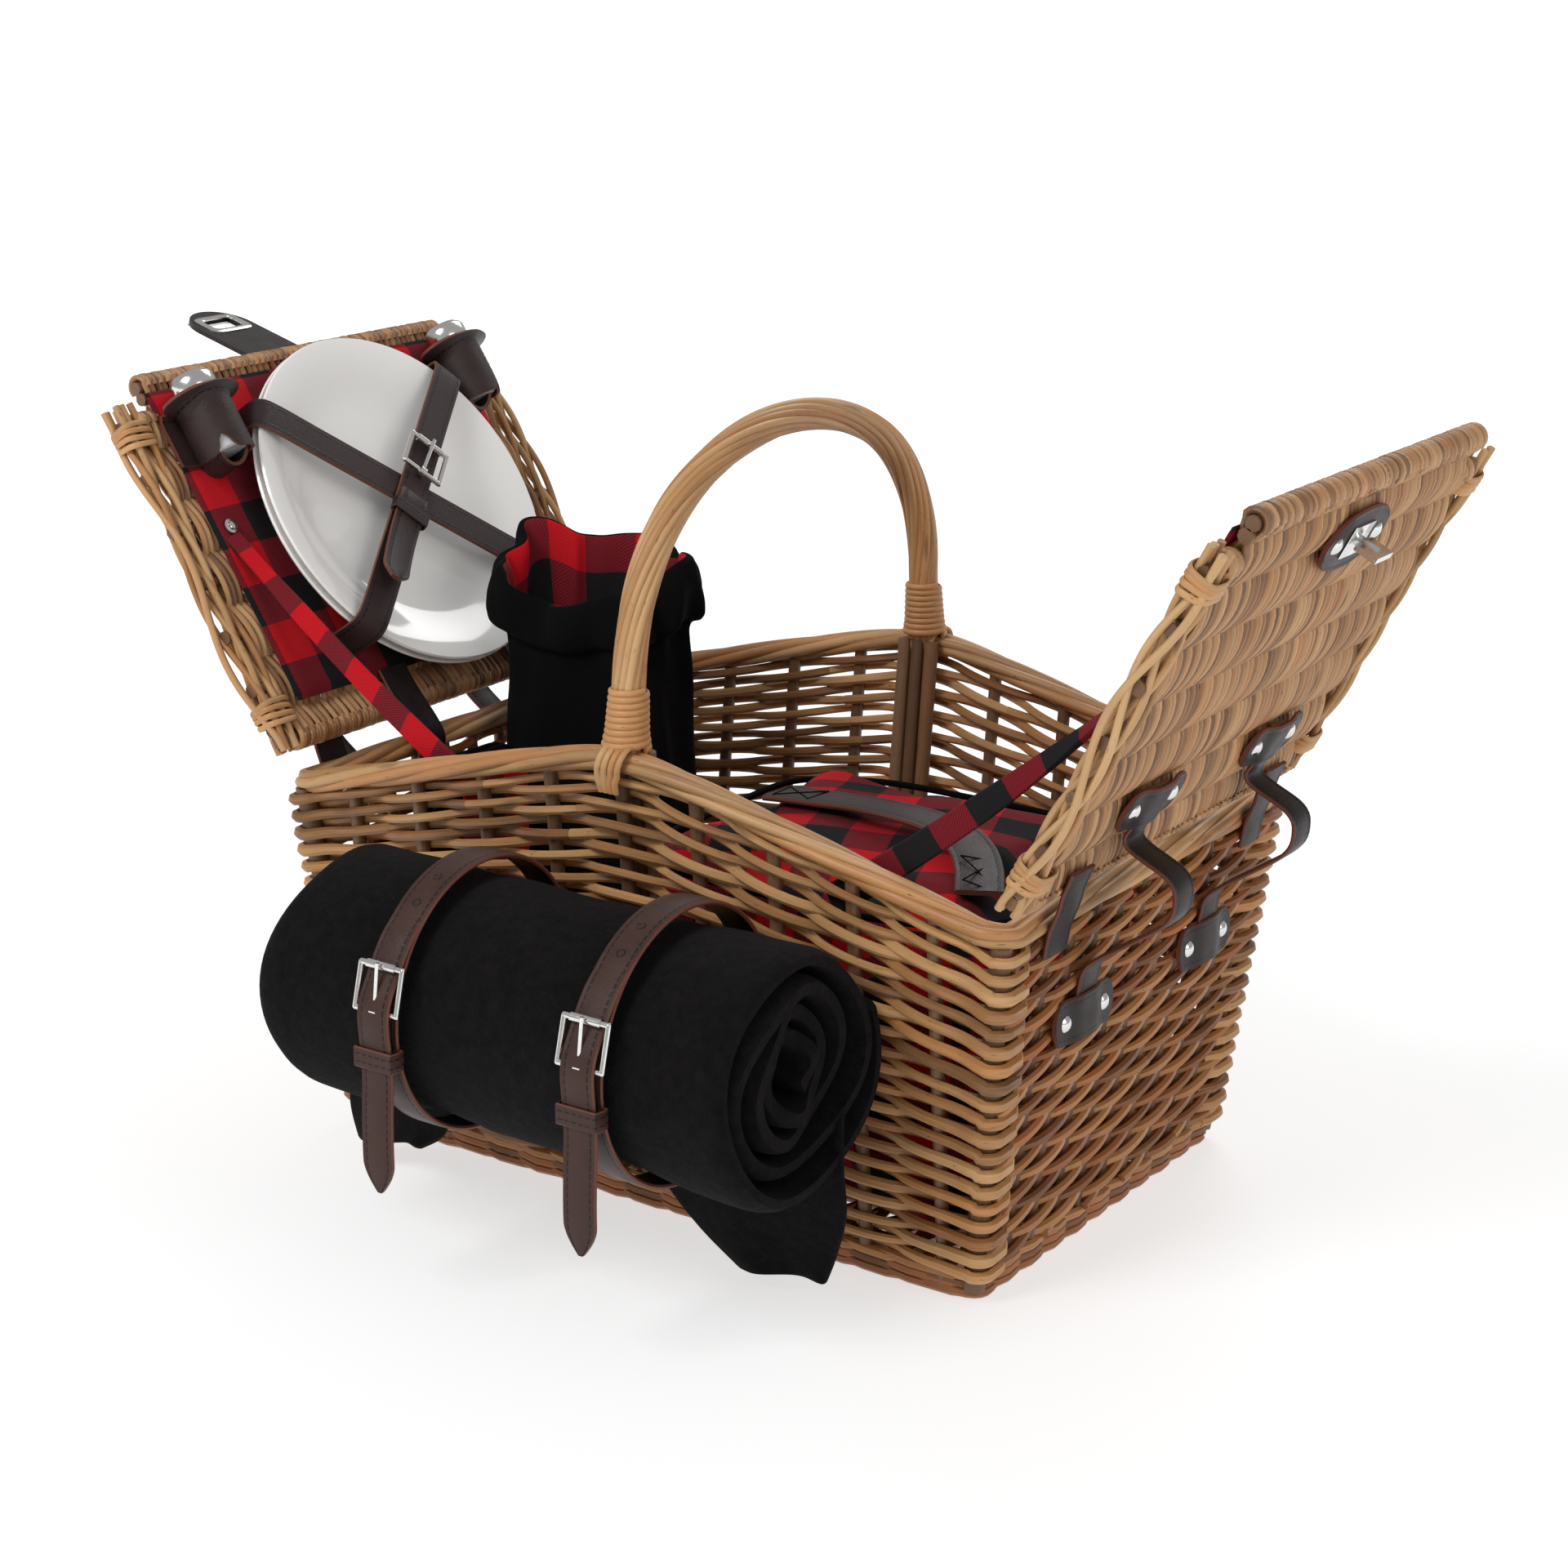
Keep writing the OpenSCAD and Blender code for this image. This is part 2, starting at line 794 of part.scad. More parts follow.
module right_lid_tabs() color([0.20, 0.14, 0.13])
    right_place()
        lid_tabs();

lock_u = 191;

module right_lid_rivets() color([0.80, 0.80, 0.80])
    right_place() {
        lid_tab_rivets();
        for (y = [-22, 22])
            translate([lock_u, y, lid_s + leather_t + 0.3])
                rivet();
    }

module turn_lock_patch() color([0.20, 0.14, 0.13])
    right_place()
        translate([lock_u, 0, lid_s + 0.2])
            difference() {
                union() {
                    tab(60, 34);
                    translate([-9, -11, leather_t])
                        cube([18, 22, 0.6]);
                }
                translate([0, 0, -1])
                    cylinder(r = 3.05, h = 6, $fn = 24);
            }

module turn_lock_knob() color([0.80, 0.80, 0.80])
    right_place()
        translate([lock_u, 0, lid_s + 0.3]) {
            cylinder(r = 3, h = 15, $fn = 24);
            translate([-1.6, -9, 6.4])
                cube([3.2, 18, 12.5]);
        }

// Handle lies from u = 30 to the middle, head towards the free end
module cutlery() color([0.82, 0.82, 0.83])
    right_place()
        for (s = [-1, 1])
            translate([0, s * 52, -face - 3.6]) {
                translate([30, s * 30 - 6, 0])
                    cube([88, 12, 3]);
                translate([117, s * 30 - 9, 0])
                    cube([84, 18, 1.8]);
                translate([30, -5, 0])
                    cube([122, 10, 3]);
                translate([151, -11, 0])
                    cube([14, 22, 2]);
                for (i = [-1.5 : 1 : 1.5])
                    translate([164, i * 5.8 - 1.7, 0])
                        cube([36, 3.4, 2]);
                translate([30, -s * 31 - 5, 0])
                    cube([134, 10, 3]);
                translate([180, -s * 31, 0])
                    cylinder(r = 18, h = 2.6, $fn = 36);
            }

module cutlery_strap() color([0.22, 0.15, 0.14])
    right_place() {
        translate([84, -104, -face - 4.2 - leather_t])
            cube([strap_w, 208, leather_t]);
        for (y = [-104, -1.2, 101.6])
            translate([84, y, -face - 4.6])
                cube([strap_w, 2.4, 4.3]);
    }

base_panel();
front_wall();
back_wall();
left_end_wall();
right_end_wall();
wall_stakes();
rim_sides();
rim_ends();
handle_arch();
handle_wrap_front();
handle_wrap_back();
handle_core_sticks();
wall_tabs();
wall_tab_rivets();
outer_straps_left();
outer_straps_right();
hinge_loops_left();
hinge_loops_right();
support_strap_left();
support_strap_right();
blanket_roll();
blanket_straps();
blanket_buckles();
blanket_prong_left();
blanket_prong_right();
wine_pouch();
napkins();
cooler_bag();
cooler_handle();
left_lid_sticks();
left_lid_panel();
left_lid_lashings();
left_lid_lining();
left_lid_tabs();
left_lid_rivets();
plate_back();
plate_front();
plate_straps();
plate_buckle();
plate_prong();
shaker_pouches();
salt_shaker();
salt_cap();
pepper_shaker();
pepper_cap();
latch_tongue();
latch_slot_plate();
right_lid_sticks();
right_lid_panel();
right_lid_lashings();
right_lid_lining();
right_lid_tabs();
right_lid_rivets();
turn_lock_patch();
turn_lock_knob();
cutlery();
cutlery_strap();
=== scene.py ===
import math
import random

import bpy
import numpy as np
from mathutils import Matrix, Vector


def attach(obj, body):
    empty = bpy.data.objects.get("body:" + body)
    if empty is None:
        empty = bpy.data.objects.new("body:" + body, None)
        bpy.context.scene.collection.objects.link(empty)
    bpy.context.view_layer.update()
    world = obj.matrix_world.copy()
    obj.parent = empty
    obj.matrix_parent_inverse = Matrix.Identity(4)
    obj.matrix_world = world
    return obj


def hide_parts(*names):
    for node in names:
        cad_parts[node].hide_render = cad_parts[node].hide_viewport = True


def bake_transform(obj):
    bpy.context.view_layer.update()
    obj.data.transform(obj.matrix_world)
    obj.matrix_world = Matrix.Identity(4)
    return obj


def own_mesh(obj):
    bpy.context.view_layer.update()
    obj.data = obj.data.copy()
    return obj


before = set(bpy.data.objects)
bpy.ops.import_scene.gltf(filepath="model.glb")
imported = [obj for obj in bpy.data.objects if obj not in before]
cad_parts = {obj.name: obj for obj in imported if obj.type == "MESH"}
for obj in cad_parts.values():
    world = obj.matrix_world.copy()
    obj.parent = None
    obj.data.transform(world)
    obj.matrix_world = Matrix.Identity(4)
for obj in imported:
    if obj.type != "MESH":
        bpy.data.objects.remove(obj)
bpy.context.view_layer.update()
rng = random.Random(11)
bpy.ops.object.select_all(action="DESELECT")


# mesh helpers
def newBag():
    return {"verts": [], "faces": [], "uvs": [], "tones": [], "mats": [], "count": 0}


def unitRows(a):
    return a / np.maximum(np.linalg.norm(a, axis=1, keepdims=True), 1e-12)


def xyz(x, y, z):
    # rows of points from three coordinates, each an array or one number
    return np.stack(np.broadcast_arrays(x, y, z), 1)


def lengthAlong(path):
    # distance from the first point to each point of a path
    return np.concatenate([[0], np.cumsum(np.linalg.norm(np.diff(path, axis=0), axis=1))])


def fullTurn(count):
    # angles once round, the last one short of the first
    return np.arange(count) * 2 * math.pi / count


def circle(radius, sides=6):
    a = fullTurn(sides)
    pts = np.stack([np.cos(a), np.sin(a)], 1) * radius
    return pts, np.arange(sides + 1) * 2 * math.pi * radius / sides


def bandSection(width, thick, seam=0.0032):
    # flat strap with rolled edges and a shallow stitch groove; v is the distance from the nearer edge
    w, t = width / 2, thick / 2
    top = [(w, 0.0), (w - 0.0006, t * 0.9), (w - seam + 0.0008, t), (w - seam, t * 0.8), (w - seam - 0.0008, t),
           (0.0, t), (-w + seam + 0.0008, t), (-w + seam, t * 0.8), (-w + seam - 0.0008, t),
           (-w + 0.0006, t * 0.9)]
    low = [(-w, 0.0), (-w + 0.0006, -t * 0.9), (0.0, -t), (w - 0.0006, -t * 0.9)]
    pts = np.array(top + low)
    v = w - np.abs(pts[:, 0])
    return pts, np.append(v, v[0])


def sweep(bag, path, across, section, tone=0.5, wide=1.0, thick=1.0, mat=0, sideMat=None, closed=False,
          capped=True):
    path = np.asarray(path, float)
    n = len(path)
    if closed:
        tang = unitRows(np.roll(path, -1, 0) - np.roll(path, 1, 0))
    else:
        tang = unitRows(np.gradient(path, axis=0))
    ref = np.broadcast_to(np.asarray(across, float), (n, 3))
    side = unitRows(ref - (ref * tang).sum(1, keepdims=True) * tang)
    up = np.cross(tang, side)
    pts, v = section
    m = len(pts)
    wide = np.broadcast_to(np.asarray(wide, float), (n,))[:, None, None]
    thick = np.broadcast_to(np.asarray(thick, float), (n,))[:, None, None]
    verts = path[:, None] + pts[None, :, :1] * wide * side[:, None] + pts[None, :, 1:] * thick * up[:, None]
    base = bag["count"]
    bag["verts"].append(verts.reshape(-1, 3))
    bag["count"] += n * m
    bag["tones"].append(np.full(n * m, tone))
    length = lengthAlong(path) + tone * 3.7
    rows = n if closed else n - 1
    i = np.repeat(np.arange(rows), m)
    j = np.tile(np.arange(m), rows)
    k = (j + 1) % m
    i2 = (i + 1) % n
    quads = np.stack([i * m + j, i * m + k, i2 * m + k, i2 * m + j], 1) + base
    if closed:
        length = np.append(length, length[-1] + np.linalg.norm(path[0] - path[-1]))
    uv = np.stack([length[i], v[j], length[i], v[j + 1], length[i + 1], v[j + 1], length[i + 1], v[j]], 1)
    bag["faces"] += quads.tolist()
    bag["uvs"].append(uv.reshape(-1, 2))
    if sideMat is None:
        bag["mats"] += [mat] * len(quads)
    else:
        edge = np.abs(pts[:, 1] + np.roll(pts[:, 1], -1)) < 0.95 * np.abs(pts[:, 1]).max()
        edge &= np.abs(pts[:, 0] + np.roll(pts[:, 0], -1)) / 2 > np.abs(pts[:, 0]).max() - 0.0009
        bag["mats"] += [sideMat if e else mat for e in np.tile(edge, rows)]
    if capped and not closed:
        for ring, order in ((0, range(m - 1, -1, -1)), (n - 1, range(m))):
            bag["faces"].append([base + ring * m + q for q in order])
            bag["uvs"].append(np.stack([np.full(m, length[ring]), v[:m]], 1))
            bag["mats"].append(mat if sideMat is None else sideMat)


def grid(bag, points, uv, tone=0.5, mat=0, wrapU=False):
    # rows x columns of points as one smooth surface, facing rows x columns
    r, c = points.shape[:2]
    base = bag["count"]
    bag["verts"].append(points.reshape(-1, 3))
    bag["count"] += r * c
    bag["tones"].append(np.full(r * c, tone))
    rows = np.arange(r - 1)
    cols = np.arange(c if wrapU else c - 1)
    i, j = np.repeat(rows, len(cols)), np.tile(cols, len(rows))
    k = (j + 1) % c
    bag["faces"] += (np.stack([i * c + j, i * c + k, (i + 1) * c + k, (i + 1) * c + j], 1) + base).tolist()
    if wrapU:
        uv = np.concatenate([uv, 2 * uv[:, -1:] - uv[:, -2:-1]], 1)
    u = np.stack([uv[i, j], uv[i, j + 1], uv[i + 1, j + 1], uv[i + 1, j]], 1)
    bag["uvs"].append(u.reshape(-1, 2))
    bag["mats"] += [mat] * len(i)


def lathe(bag, profile, place, steps=64, mat=0, tone=0.5):
    # profile rows are (radius, height), from the outside base up and over; place maps points to the scene
    a = -fullTurn(steps)
    prof = np.asarray(profile, float)
    pts = np.stack([np.outer(prof[:, 0], np.cos(a)), np.outer(prof[:, 0], np.sin(a)),
                    np.repeat(prof[:, 1:], steps, 1)], 2)
    run = lengthAlong(prof)
    uv = np.stack([np.tile(-a * prof[:, 0].max(), (len(prof), 1)), np.repeat(run[:, None], steps, 1)], 2)
    grid(bag, place(pts.reshape(-1, 3)).reshape(pts.shape), uv, tone, mat, wrapU=True)


def pick(piece):
    bpy.ops.object.select_all(action="DESELECT")
    piece.select_set(True)
    bpy.context.view_layer.objects.active = piece


def applyModifier(piece, kind, **values):
    pick(piece)
    mod = piece.modifiers.new(kind.lower(), kind)
    for key, value in values.items():
        setattr(mod, key, value)
    bpy.ops.object.modifier_apply(modifier=mod.name)


def finishMesh(name, bag, materials, body=None, smooth=35, outward=False):
    mesh = bpy.data.meshes.new(name)
    mesh.from_pydata(np.concatenate(bag["verts"]).tolist(), [], bag["faces"])
    layer = mesh.uv_layers.new(name="cloth")
    flat = np.concatenate([np.asarray(u).reshape(-1, 2) for u in bag["uvs"]])
    layer.data.foreach_set("uv", flat.astype(np.float32).ravel())
    tone = mesh.attributes.new("tone", "FLOAT", "POINT")
    tone.data.foreach_set("value", np.concatenate(bag["tones"]).astype(np.float32))
    for m in materials:
        mesh.materials.append(m)
    mesh.polygons.foreach_set("material_index", np.array(bag["mats"], np.int32))
    mesh.validate(clean_customdata=False)
    piece = bpy.data.objects.new(name, mesh)
    bpy.context.collection.objects.link(piece)
    pick(piece)
    if outward:
        bpy.ops.object.mode_set(mode="EDIT")
        bpy.ops.mesh.select_all(action="SELECT")
        bpy.ops.mesh.remove_doubles(threshold=0.00001)
        bpy.ops.mesh.normals_make_consistent(inside=False)
        bpy.ops.object.mode_set(mode="OBJECT")
    bpy.ops.object.shade_smooth_by_angle(angle=math.radians(smooth))
    piece.select_set(False)
    if body:
        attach(piece, body)
    return piece


# material helpers
def feed(tree, made, inputs):
    # each input takes another node's socket or a constant
    for key, value in inputs.items():
        if isinstance(value, bpy.types.NodeSocket):
            tree.links.new(value, made.inputs[key])
        else:
            made.inputs[key].default_value = value
    return made


def shaderNode(tree, kind, inputs=None, **settings):
    made = tree.nodes.new(kind)
    for key, value in settings.items():
        setattr(made, key, value)
    return feed(tree, made, inputs or {})


def mathOf(tree, operation, a, b=0.0, c=0.0):
    return shaderNode(tree, "ShaderNodeMath", {0: a, 1: b, 2: c}, operation=operation).outputs[0]


def mixOf(tree, factor, a, b, blend="MIX"):
    made = tree.nodes.new("ShaderNodeMix")
    made.data_type = "RGBA"
    made.blend_type = blend
    return feed(tree, made, {0: factor, 6: a, 7: b}).outputs[2]


def rangeOf(tree, value, low, high, outLow=0.0, outHigh=1.0):
    return shaderNode(tree, "ShaderNodeMapRange", {0: value, 1: low, 2: high, 3: outLow, 4: outHigh}).outputs[0]


def newGroup(name, inputs, outputs):
    tree = bpy.data.node_groups.new(name, "ShaderNodeTree")
    for label, kind, value in inputs:
        socket = tree.interface.new_socket(label, in_out="INPUT", socket_type=kind)
        if value is not None:
            socket.default_value = value
    for label, kind in outputs:
        tree.interface.new_socket(label, in_out="OUTPUT", socket_type=kind)
    return tree, tree.nodes.new("NodeGroupInput"), tree.nodes.new("NodeGroupOutput")


def noiseOf(tree, vector, scale, detail=3.0, rough=0.55):
    return shaderNode(tree, "ShaderNodeTexNoise", {"Vector": vector, "Scale": scale, "Detail": detail,
                                                   "Roughness": rough}).outputs["Fac"]


def scaled(tree, vector, amount):
    return shaderNode(tree, "ShaderNodeMapping", {"Vector": vector, "Scale": amount}).outputs[0]


colorKind, floatKind, vectorKind = "NodeSocketColor", "NodeSocketFloat", "NodeSocketVector"


def buildWillowGroup():
    # peeled willow: long streaks, dark flecks and a few knots along each rod
    tree, i, o = newGroup("willowGrain", [("Along", vectorKind, None), ("Place", vectorKind, None),
                                          ("Tone", floatKind, 0.5), ("Light", colorKind, (1, 1, 1, 1)),
                                          ("Mid", colorKind, (1, 1, 1, 1)), ("Dark", colorKind, (1, 1, 1, 1))],
                          [("Color", colorKind), ("Roughness", floatKind), ("Height", floatKind)])
    along = i.outputs["Along"]
    streak = noiseOf(tree, scaled(tree, along, (45, 900, 1)), 1.0, 4)
    broad = noiseOf(tree, i.outputs["Place"], 26.0, 3)
    fleckField = noiseOf(tree, scaled(tree, along, (170, 620, 1)), 1.0, 2)
    fleck = rangeOf(tree, fleckField, 0.66, 0.74)
    knotField = noiseOf(tree, scaled(tree, along, (22, 90, 1)), 1.0, 1)
    knot = rangeOf(tree, knotField, 0.70, 0.78)
    level = mathOf(tree, "ADD", mathOf(tree, "MULTIPLY", i.outputs["Tone"], 0.55),
                   mathOf(tree, "ADD", mathOf(tree, "MULTIPLY", streak, 0.38),
                          mathOf(tree, "MULTIPLY", broad, 0.30)))
    color = mixOf(tree, rangeOf(tree, level, 0.30, 0.66), i.outputs["Light"], i.outputs["Mid"])
    color = mixOf(tree, rangeOf(tree, level, 0.66, 1.02), color, i.outputs["Dark"])
    kind = mathOf(tree, "FRACT", mathOf(tree, "MULTIPLY", i.outputs["Tone"], 7.31))
    color = mixOf(tree, rangeOf(tree, kind, 0.45, 1.0, 0.0, 0.9), color, (1.0, 0.78, 0.60, 1), "MULTIPLY")
    mark = mathOf(tree, "MAXIMUM", mathOf(tree, "MULTIPLY", fleck, 0.75), mathOf(tree, "MULTIPLY", knot, 0.6))
    color = mixOf(tree, mark, color, (0.055, 0.028, 0.012, 1))
    tree.links.new(color, o.inputs["Color"])
    tree.links.new(rangeOf(tree, streak, 0.2, 0.8, 0.42, 0.62), o.inputs["Roughness"])
    height = mathOf(tree, "SUBTRACT", mathOf(tree, "MULTIPLY", streak, 0.6),
                    mathOf(tree, "MULTIPLY", mark, 0.5))
    tree.links.new(height, o.inputs["Height"])
    return tree


def buildPlaidGroup():
    # two-way check: plain red, plain black and the twill where they cross
    tree, i, o = newGroup("plaidCheck", [("Flat", vectorKind, None), ("Square", floatKind, 0.024)],
                          [("Color", colorKind), ("Height", floatKind)])
    parts = shaderNode(tree, "ShaderNodeSeparateXYZ", {0: i.outputs["Flat"]})
    wobble = noiseOf(tree, i.outputs["Flat"], 900.0, 1)
    shift = mathOf(tree, "MULTIPLY", mathOf(tree, "SUBTRACT", wobble, 0.5), 0.0009)
    pair = mathOf(tree, "MULTIPLY", i.outputs["Square"], 2.0)
    bands = []
    for axis in (0, 1):
        at = mathOf(tree, "ADD", parts.outputs[axis], shift)
        bands.append(mathOf(tree, "GREATER_THAN", mathOf(tree, "FRACT", mathOf(tree, "DIVIDE", at, pair)), 0.5))
    both = mathOf(tree, "ADD", bands[0], bands[1])
    slant = mathOf(tree, "ADD", parts.outputs[0], parts.outputs[1])
    twill = mathOf(tree, "SINE", mathOf(tree, "MULTIPLY", slant, 2 * math.pi / 0.0019))
    fuzz = noiseOf(tree, i.outputs["Flat"], 2600.0, 2, 0.7)
    red = mixOf(tree, rangeOf(tree, fuzz, 0.3, 0.75), (0.40, 0.004, 0.009, 1), (0.62, 0.012, 0.020, 1))
    weave = mathOf(tree, "ADD", mathOf(tree, "MULTIPLY", twill, 0.30), rangeOf(tree, fuzz, 0.25, 0.8, 0.1, 0.8))
    mid = mixOf(tree, weave, (0.085, 0.006, 0.009, 1), (0.27, 0.018, 0.028, 1))
    black = mixOf(tree, rangeOf(tree, fuzz, 0.3, 0.8), (0.006, 0.006, 0.007, 1), (0.022, 0.020, 0.022, 1))
    color = mixOf(tree, mathOf(tree, "GREATER_THAN", both, 0.5), red, mid)
    color = mixOf(tree, mathOf(tree, "GREATER_THAN", both, 1.5), color, black)
    tree.links.new(color, o.inputs["Color"])
    tree.links.new(mathOf(tree, "ADD", mathOf(tree, "MULTIPLY", twill, 0.4), fuzz), o.inputs["Height"])
    return tree


def buildLeatherGroup():
    # pebbled hide with a stitched line beside each edge and a worn, paler cut edge
    tree, i, o = newGroup("leatherHide", [("Place", vectorKind, None), ("Flat", vectorKind, None),
                                          ("Hide", colorKind, (0, 0, 0, 1)), ("Worn", colorKind, (0, 0, 0, 1)),
                                          ("Thread", colorKind, (0, 0, 0, 1)), ("Stitched", floatKind, 1.0)],
                          [("Color", colorKind), ("Roughness", floatKind), ("Height", floatKind)])
    cells = shaderNode(tree, "ShaderNodeTexVoronoi", {"Vector": i.outputs["Place"], "Scale": 1100.0},
                       feature="DISTANCE_TO_EDGE").outputs[0]
    pebble = rangeOf(tree, cells, 0.0, 0.25)
    cloud = noiseOf(tree, i.outputs["Place"], 60.0, 4)
    parts = shaderNode(tree, "ShaderNodeSeparateXYZ", {0: i.outputs["Flat"]})
    inLine = rangeOf(tree, mathOf(tree, "ABSOLUTE", mathOf(tree, "SUBTRACT", parts.outputs[1], 0.0032)), 0.0006,
                     0.0003)
    step = mathOf(tree, "FRACT", mathOf(tree, "DIVIDE", parts.outputs[0], 0.0040))
    dash = mathOf(tree, "LESS_THAN", step, 0.72)
    stitch = mathOf(tree, "MULTIPLY", mathOf(tree, "MULTIPLY", inLine, dash), i.outputs["Stitched"])
    wear = mathOf(tree, "MULTIPLY", rangeOf(tree, parts.outputs[1], 0.0011, 0.0003), i.outputs["Stitched"])
    color = mixOf(tree, rangeOf(tree, cloud, 0.35, 0.75, 0.0, 0.35), i.outputs["Hide"], i.outputs["Worn"])
    color = mixOf(tree, mathOf(tree, "MULTIPLY", wear, 0.6), color, i.outputs["Worn"])
    color = mixOf(tree, stitch, color, i.outputs["Thread"])
    tree.links.new(color, o.inputs["Color"])
    tree.links.new(rangeOf(tree, cloud, 0.3, 0.7, 0.36, 0.52), o.inputs["Roughness"])
    tree.links.new(mathOf(tree, "ADD", mathOf(tree, "MULTIPLY", pebble, 0.35),
                          mathOf(tree, "MULTIPLY", stitch, 1.6)), o.inputs["Height"])
    return tree


def newMaterial(name):
    made = bpy.data.materials.new(name)
    made.use_nodes = True
    tree = made.node_tree
    return made, tree, tree.nodes["Principled BSDF"]


def placeIn(tree):
    return tree.nodes.new("ShaderNodeTexCoord").outputs["Object"]


def clothMap(tree):
    return shaderNode(tree, "ShaderNodeUVMap", uv_map="cloth").outputs[0]


def groupIn(tree, group, inputs):
    made = tree.nodes.new("ShaderNodeGroup")
    made.node_tree = group
    return feed(tree, made, inputs)


def bumpInto(tree, shader, height, strength, distance):
    bump = shaderNode(tree, "ShaderNodeBump", {"Strength": strength, "Distance": distance, "Height": height})
    tree.links.new(bump.outputs[0], shader.inputs["Normal"])


willowGroup, plaidGroup, leatherGroup = buildWillowGroup(), buildPlaidGroup(), buildLeatherGroup()


def willow(name, light, mid, dark):
    made, tree, shader = newMaterial(name)
    where = placeIn(tree)
    flat = clothMap(tree)
    tone = shaderNode(tree, "ShaderNodeAttribute", attribute_name="tone").outputs["Fac"]
    g = groupIn(tree, willowGroup, {"Along": flat, "Place": where, "Tone": tone,
                                    "Light": light, "Mid": mid, "Dark": dark})
    tree.links.new(g.outputs["Color"], shader.inputs["Base Color"])
    tree.links.new(g.outputs["Roughness"], shader.inputs["Roughness"])
    bumpInto(tree, shader, g.outputs["Height"], 0.35, 0.0004)
    shader.inputs["Coat Weight"].default_value = 0.12
    shader.inputs["Coat Roughness"].default_value = 0.35
    return made


def plaid(name, square):
    made, tree, shader = newMaterial(name)
    g = groupIn(tree, plaidGroup, {"Flat": clothMap(tree), "Square": square})
    tree.links.new(g.outputs["Color"], shader.inputs["Base Color"])
    shader.inputs["Roughness"].default_value = 0.92
    shader.inputs["Sheen Weight"].default_value = 0.03
    shader.inputs["Specular IOR Level"].default_value = 0.12
    shader.inputs["Sheen Roughness"].default_value = 0.5
    bumpInto(tree, shader, g.outputs["Height"], 0.4, 0.0003)
    return made


def leather(name, hide, worn, thread, stitched=1.0):
    made, tree, shader = newMaterial(name)
    where = placeIn(tree)
    flat = clothMap(tree)
    g = groupIn(tree, leatherGroup, {"Place": where, "Flat": flat, "Hide": hide, "Worn": worn, "Thread": thread,
                                     "Stitched": stitched})
    tree.links.new(g.outputs["Color"], shader.inputs["Base Color"])
    tree.links.new(g.outputs["Roughness"], shader.inputs["Roughness"])
    shader.inputs["Specular IOR Level"].default_value = 0.26
    bumpInto(tree, shader, g.outputs["Height"], 0.5, 0.00035)
    return made


def cloth(name, low, high, fine, broad, sheen, bump):
    made, tree, shader = newMaterial(name)
    where = placeIn(tree)
    fuzz = noiseOf(tree, where, fine, 3, 0.7)
    cloud = noiseOf(tree, where, broad, 2)
    color = mixOf(tree, mathOf(tree, "MULTIPLY", fuzz, cloud), low, high)
    tree.links.new(color, shader.inputs["Base Color"])
    shader.inputs["Roughness"].default_value = 0.95
    shader.inputs["Specular IOR Level"].default_value = 0.10
    shader.inputs["Sheen Weight"].default_value = sheen
    shader.inputs["Sheen Roughness"].default_value = 0.4
    bumpInto(tree, shader, mathOf(tree, "ADD", fuzz, mathOf(tree, "MULTIPLY", cloud, 1.5)), 0.8, bump)
    return made


def metal(name, color, rough, scratch=600.0):
    made, tree, shader = newMaterial(name)
    where = placeIn(tree)
    marks = noiseOf(tree, where, scratch, 4)
    tree.links.new(mixOf(tree, marks, color, tuple(c * 0.86 for c in color[:3]) + (1,)),
                   shader.inputs["Base Color"])
    tree.links.new(rangeOf(tree, marks, 0.3, 0.8, rough, rough + 0.14), shader.inputs["Roughness"])
    shader.inputs["Metallic"].default_value = 1.0
    bumpInto(tree, shader, marks, 0.06, 0.0002)
    return made


def glaze(name, color):
    made, tree, shader = newMaterial(name)
    where = placeIn(tree)
    wave = noiseOf(tree, where, 14.0, 2)
    speck = rangeOf(tree, noiseOf(tree, where, 900.0, 1), 0.74, 0.80)
    tone = mixOf(tree, wave, color, tuple(c * 0.965 for c in color[:3]) + (1,))
    tree.links.new(mixOf(tree, mathOf(tree, "MULTIPLY", speck, 0.08), tone, (0.5, 0.45, 0.38, 1)),
                   shader.inputs["Base Color"])
    tree.links.new(rangeOf(tree, wave, 0.2, 0.8, 0.08, 0.14), shader.inputs["Roughness"])
    shader.inputs["Coat Weight"].default_value = 0.6
    shader.inputs["Coat Roughness"].default_value = 0.05
    bumpInto(tree, shader, wave, 0.05, 0.002)
    return made


wallWillow = willow("wallWillow", (0.56, 0.315, 0.130, 1), (0.37, 0.178, 0.062, 1), (0.105, 0.042, 0.014, 1))
endWillow = willow("endWillow", (0.45, 0.205, 0.070, 1), (0.31, 0.122, 0.036, 1), (0.085, 0.030, 0.010, 1))
rimWillow = willow("rimWillow", (0.58, 0.36, 0.170, 1), (0.42, 0.225, 0.088, 1), (0.15, 0.066, 0.024, 1))
bowWillow = willow("bowWillow", (0.60, 0.365, 0.165, 1), (0.46, 0.245, 0.095, 1), (0.20, 0.088, 0.032, 1))
lidWillow = willow("lidWillow", (0.52, 0.300, 0.135, 1), (0.34, 0.170, 0.065, 1), (0.095, 0.040, 0.015, 1))
stickWillow = willow("stickWillow", (0.26, 0.150, 0.075, 1), (0.16, 0.080, 0.036, 1), (0.060, 0.028, 0.012, 1))
plaidCloth = plaid("plaidCloth", 0.0235)
darkHide = leather("darkHide", (0.014, 0.0095, 0.010, 1), (0.040, 0.020, 0.017, 1), (0.006, 0.004, 0.004, 1))
plateHide = leather("plateHide", (0.030, 0.017, 0.018, 1), (0.062, 0.033, 0.028, 1), (0.010, 0.006, 0.006, 1))
greyHide = leather("greyHide", (0.040, 0.028, 0.030, 1), (0.075, 0.052, 0.050, 1), (0.012, 0.008, 0.008, 1))
